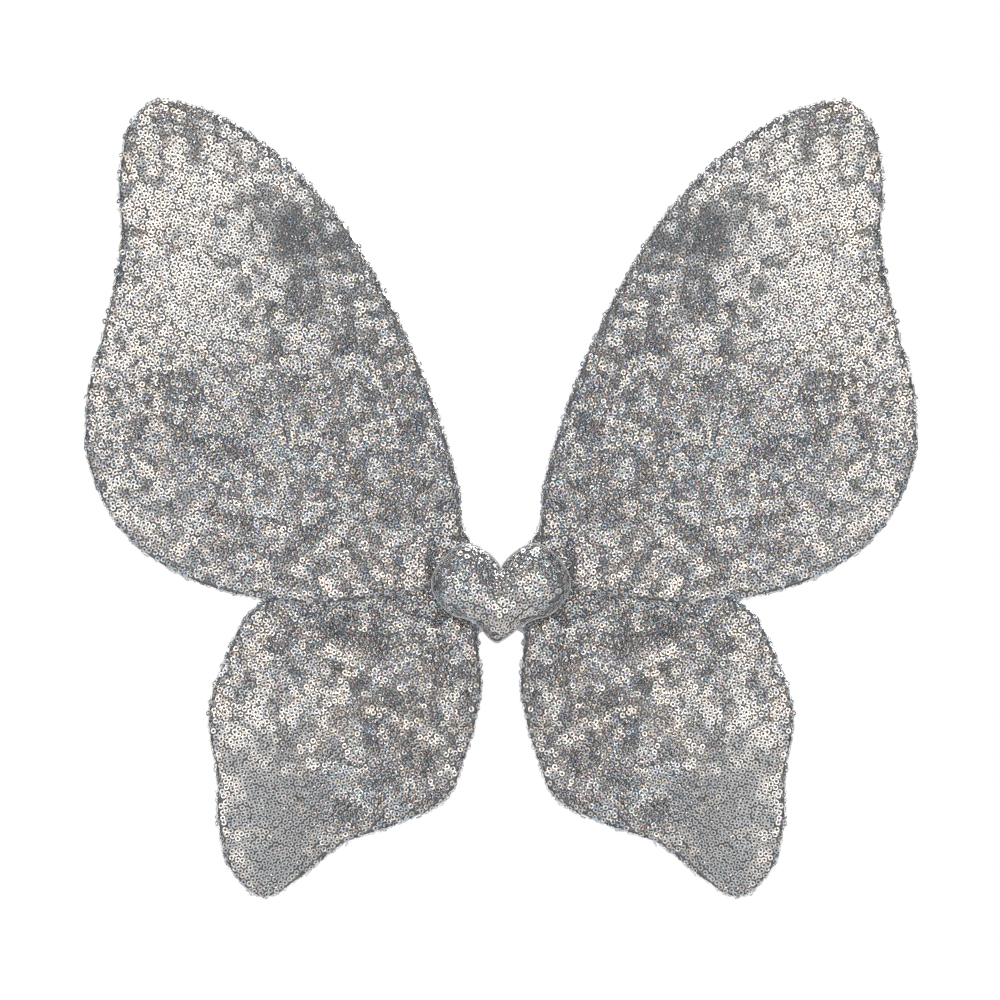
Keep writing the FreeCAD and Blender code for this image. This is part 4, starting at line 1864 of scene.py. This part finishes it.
@dataclass
class Centre:
    """The felt block behind the heart, its back patch and the tapes that hold the lobes to it."""

    finishes: Finishes
    stitches: RunningStitch
    columns: int = 16
    rows: int = 18
    pleat: float = 0.55 * MM
    pleats: float = 3.5

    def slab(self, name: str, node: str, radius: float, puff: float) -> bpy.types.Object:
        """A soft-edged slab of felt in place of a CAD box.

        Args:
            name: The new piece's name.
            node: The CAD node that gives its size.
            radius: The rounding of its edges.
            puff: How much its faces are uneven.

        Returns:
            The slab.
        """
        low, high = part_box(node)
        shape = bmesh.new()
        bmesh.ops.create_cube(shape, size=1.0)
        size = high - low
        for v in shape.verts:
            v.co = Vector([low[i] + (v.co[i] + 0.5) * size[i] for i in range(3)])
        bmesh.ops.bevel(
            shape, geom=list(shape.edges), offset=radius, segments=3, profile=0.5, affect="EDGES"
        )
        bmesh.ops.subdivide_edges(
            shape, edges=[e for e in shape.edges if e.calc_length() > 4 * MM], cuts=6, use_grid_fill=True
        )
        middle = (low + high) / 2
        for v in shape.verts:
            away = (v.co - middle).normalized()
            v.co -= away * puff * (0.5 + 0.5 * noise.noise(v.co * 300))
        mesh = bpy.data.meshes.new(name)
        shape.to_mesh(mesh)
        shape.free()
        shade_smooth(mesh)
        mesh.materials.append(self.finishes.felt)
        return new_object(name, mesh)

    def tape(self, side: Side, name: str, node: str, low: float, high: float, reach: float) -> None:
        """A pleated tape that joins a lobe's root to the side of the block.

        Args:
            side: Which side.
            name: The new piece's name, without its side.
            node: The CAD cover whose seam the tape is sewn into.
            low: The tape's lower end.
            high: Its upper end.
            reach: How far past the hinge line it goes into the lobe.
        """
        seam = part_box(f"{side.label}_{node}")[1].y
        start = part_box("centre_block")[1].x - 0.6 * MM
        end = HINGE_OUT + reach
        columns, rows = self.columns, self.rows
        verts, faces = [], []
        for row in range(rows + 1):
            z = low + (high - low) * row / rows
            for column in range(columns + 1):
                t = column / columns
                x = start + (end - start) * t
                pleat = self.pleat * math.sin(row / rows * math.tau * self.pleats) * math.sin(math.pi * t)
                verts.append((side.value * x, seam + pleat, z))
        for row in range(rows):
            for column in range(columns):
                a = row * (columns + 1) + column
                faces.append((a, a + 1, a + columns + 2, a + columns + 1))
        mesh = bpy.data.meshes.new(f"{side.label}_{name}")
        mesh.from_pydata(verts, [], faces)
        mesh.materials.append(self.finishes.satin)
        piece = new_object(mesh.name, mesh)
        wall = piece.modifiers.new("Cloth", "SOLIDIFY")
        wall.thickness = 0.5 * MM
        wall.offset = 0
        shade_smooth(apply_modifiers(piece).data)
        f"{side.label}_upper_wing"
        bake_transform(piece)
        log.info("%s: %d faces", piece.name, len(piece.data.polygons))

    def build(self) -> None:
        """Makes the centre's pieces."""
        block = self.slab("felt_block", "centre_block", 0.9 * MM, 0.12 * MM)
        settle(block, "centre", ["centre_block"])
        patch = self.slab("felt_back_patch", "back_patch", 0.45 * MM, 0.05 * MM)
        settle(patch, "centre", ["back_patch"])
        low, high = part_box("back_patch")
        inset = 1.6 * MM
        corners = [
            Vector((x, high.y + 0.02 * MM, z))
            for x, z in (
                (low.x + inset, low.z + inset),
                (high.x - inset, low.z + inset),
                (high.x - inset, high.z - inset),
                (low.x + inset, high.z - inset),
            )
        ]
        sewn = self.stitches.run(
            "patch_stitches",
            line_mesh(corners, True),
            Material=self.finishes.thread,
            Pitch=2.6 * MM,
            Length=1.8 * MM,
            Thickness=0.4 * MM,
        )
        settle(sewn, "centre")
        for side in Side:
            self.tape(side, "upper_root_tape", "upper_sequin_cover", 3 * MM, 9 * MM, 3 * MM)
            self.tape(side, "lower_root_tape", "lower_sequin_cover", -12 * MM, -4 * MM, 0.0)


@dataclass
class Studio:
    """The floor, the lights, the world and the camera."""

    frame_width: float = 0.5
    centre: Vector = field(default_factory=lambda: Vector((-0.5 * MM, -13 * MM, 45 * MM)))
    lens: float = 100.0
    sensor: float = 36.0
    floor_level: float = -0.55
    floor_radius: float = 1.8

    def floor(self) -> None:
        """A pale round floor, well below the object."""
        shape = bmesh.new()
        bmesh.ops.create_circle(
            shape,
            cap_ends=True,
            segments=96,
            radius=self.floor_radius,
            matrix=Matrix.Translation((0, 0, self.floor_level)),
        )
        mesh = bpy.data.meshes.new("studio_floor")
        shape.to_mesh(mesh)
        shape.free()
        mesh.materials.append(PaleFloor().build())
        new_object("studio_floor", mesh)

    def softbox(
        self, name: str, place: Vector, size: tuple[float, float], watts: float, tint: str
    ) -> None:
        """Adds one rectangular light that faces the object.

        Args:
            name: The lamp's name.
            place: Where it stands.
            size: Its width and height.
            watts: Its power.
            tint: Its hex colour.
        """
        data = bpy.data.lights.new(name, "AREA")
        data.shape = "RECTANGLE"
        data.size, data.size_y = size
        data.energy = watts
        data.color = colour(tint)[:3]
        lamp = bpy.data.objects.new(name, data)
        lamp.location = place
        lamp.rotation_euler = (self.centre - place).to_track_quat("-Z", "Y").to_euler()
        lamp.visible_camera = False
        bpy.context.scene.collection.objects.link(lamp)

    def surroundings(self) -> None:
        """A white backdrop to the camera, and a grey studio with darker corners to everything else."""
        world = bpy.data.worlds.new("studio")
        bpy.context.scene.world = world
        world.use_nodes = True
        world.node_tree.nodes.clear()
        add = partial(add_node, world.node_tree)
        way = add(COORDINATES, out="Generated")
        ahead = add(MATH, add(SEPARATE, way, out="Y"), operation="ABSOLUTE")
        grade = add(RAMP, ahead, ramp=((0.2, "8C8A87"), (0.65, "B6B4B0"), (0.95, "F2EFEA")))
        same = add(VECTOR_MATH, way, operation="ABSOLUTE")
        blotch = add(NOISE, same, inputs={"Scale": 3.2, "Detail": 3.0}, out="Fac")
        patches = add(RAMP, blotch, ramp=((0.42, "5E6064"), (0.6, "FFFFFF")))
        layers = {"Factor": 0.8, 6: grade, 7: patches}
        room = add(MIX, inputs=layers, out=2, data_type="RGBA", blend_type="MULTIPLY")
        dim = add("ShaderNodeBackground", room, 1.0)
        white = add("ShaderNodeBackground", (1, 1, 1, 1), 1.0)
        seen = add("ShaderNodeLightPath", out="Is Camera Ray")
        add("ShaderNodeOutputWorld", add("ShaderNodeMixShader", seen, dim, white))

    def camera(self) -> None:
        """A camera straight in front of the wings."""
        data = bpy.data.cameras.new("camera")
        data.lens = self.lens
        data.sensor_width = self.sensor
        data.clip_start, data.clip_end = 0.05, 20
        distance = self.frame_width * self.lens / self.sensor
        eye = bpy.data.objects.new("camera", data)
        eye.location = self.centre + Vector((0, -distance, 0))
        eye.rotation_euler = (math.pi / 2, 0, 0)
        bpy.context.scene.collection.objects.link(eye)
        bpy.context.scene.camera = eye

    def build(self) -> None:
        """Sets up the studio."""
        bpy.context.scene.view_settings.view_transform = "Standard"
        self.floor()
        self.surroundings()
        for name, place, size, watts, tint in (
            ("front_softbox", (0.0, -2.3, 0.12), (1.75, 1.6), 13.0, "FFF3E6"),
            ("top_softbox", (0.0, 0.2, 2.3), (2.0, 2.0), 48, "FFFFFF"),
            ("left_strip", (-1.6, -1.0, 0.5), (0.2, 1.4), 2.5, "EEF3FF"),
            ("right_strip", (1.6, -1.0, 0.5), (0.2, 1.4), 2.5, "EEF3FF"),
            ("back_softbox", (1.1, 1.7, 0.9), (0.8, 0.8), 16, "FFFDF8"),
            ("back_fill", (-1.5, 1.5, 0.1), (1.0, 1.4), 6, "F4F7FF"),
        ):
            self.softbox(name, Vector(place), size, watts, tint)
        self.camera()


def dress_inner_pieces(finishes: Finishes, nodes: dict[str, bpy.types.Object]) -> None:
    """Gives the CAD pieces inside the pads their real materials.

    Args:
        finishes: Every finish.
        nodes: The CAD nodes by name.
    """
    kinds = {
        "wadding": finishes.wadding,
        "filling": finishes.wadding,
        "rim_wire": finishes.wire,
        "ferrule": finishes.zinc,
    }
    for name, node in nodes.items():
        for ending, material in kinds.items():
            if name.endswith(ending):
                for slot in node.material_slots:
                    slot.material = material


def clear_start_objects(keep: set[str]) -> None:
    """Removes what an empty file may still hold.

    Args:
        keep: The names of the CAD nodes.
    """
    for item in list(bpy.data.objects):
        if item.name in ("Cube", "Light", "Camera") and item.name not in keep:
            bpy.data.objects.remove(item)


def main() -> None:
    """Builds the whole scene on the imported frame."""
    logging.basicConfig(level=logging.INFO, format="%(name)s: %(message)s")
    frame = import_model()
    clear_start_objects(set(frame["nodes"]))
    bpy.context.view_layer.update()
    finishes = Finishes()
    sequins = SequinRows()
    stitches = RunningStitch()
    Studio().build()
    Wings(finishes, sequins, stitches).build()
    Heart(finishes, sequins, stitches).build()
    Centre(finishes, stitches).build()
    for side in Side:
        ArmLoop(finishes, side).build()
    dress_inner_pieces(finishes, frame["nodes"])


if __name__ == "__main__":
    main()
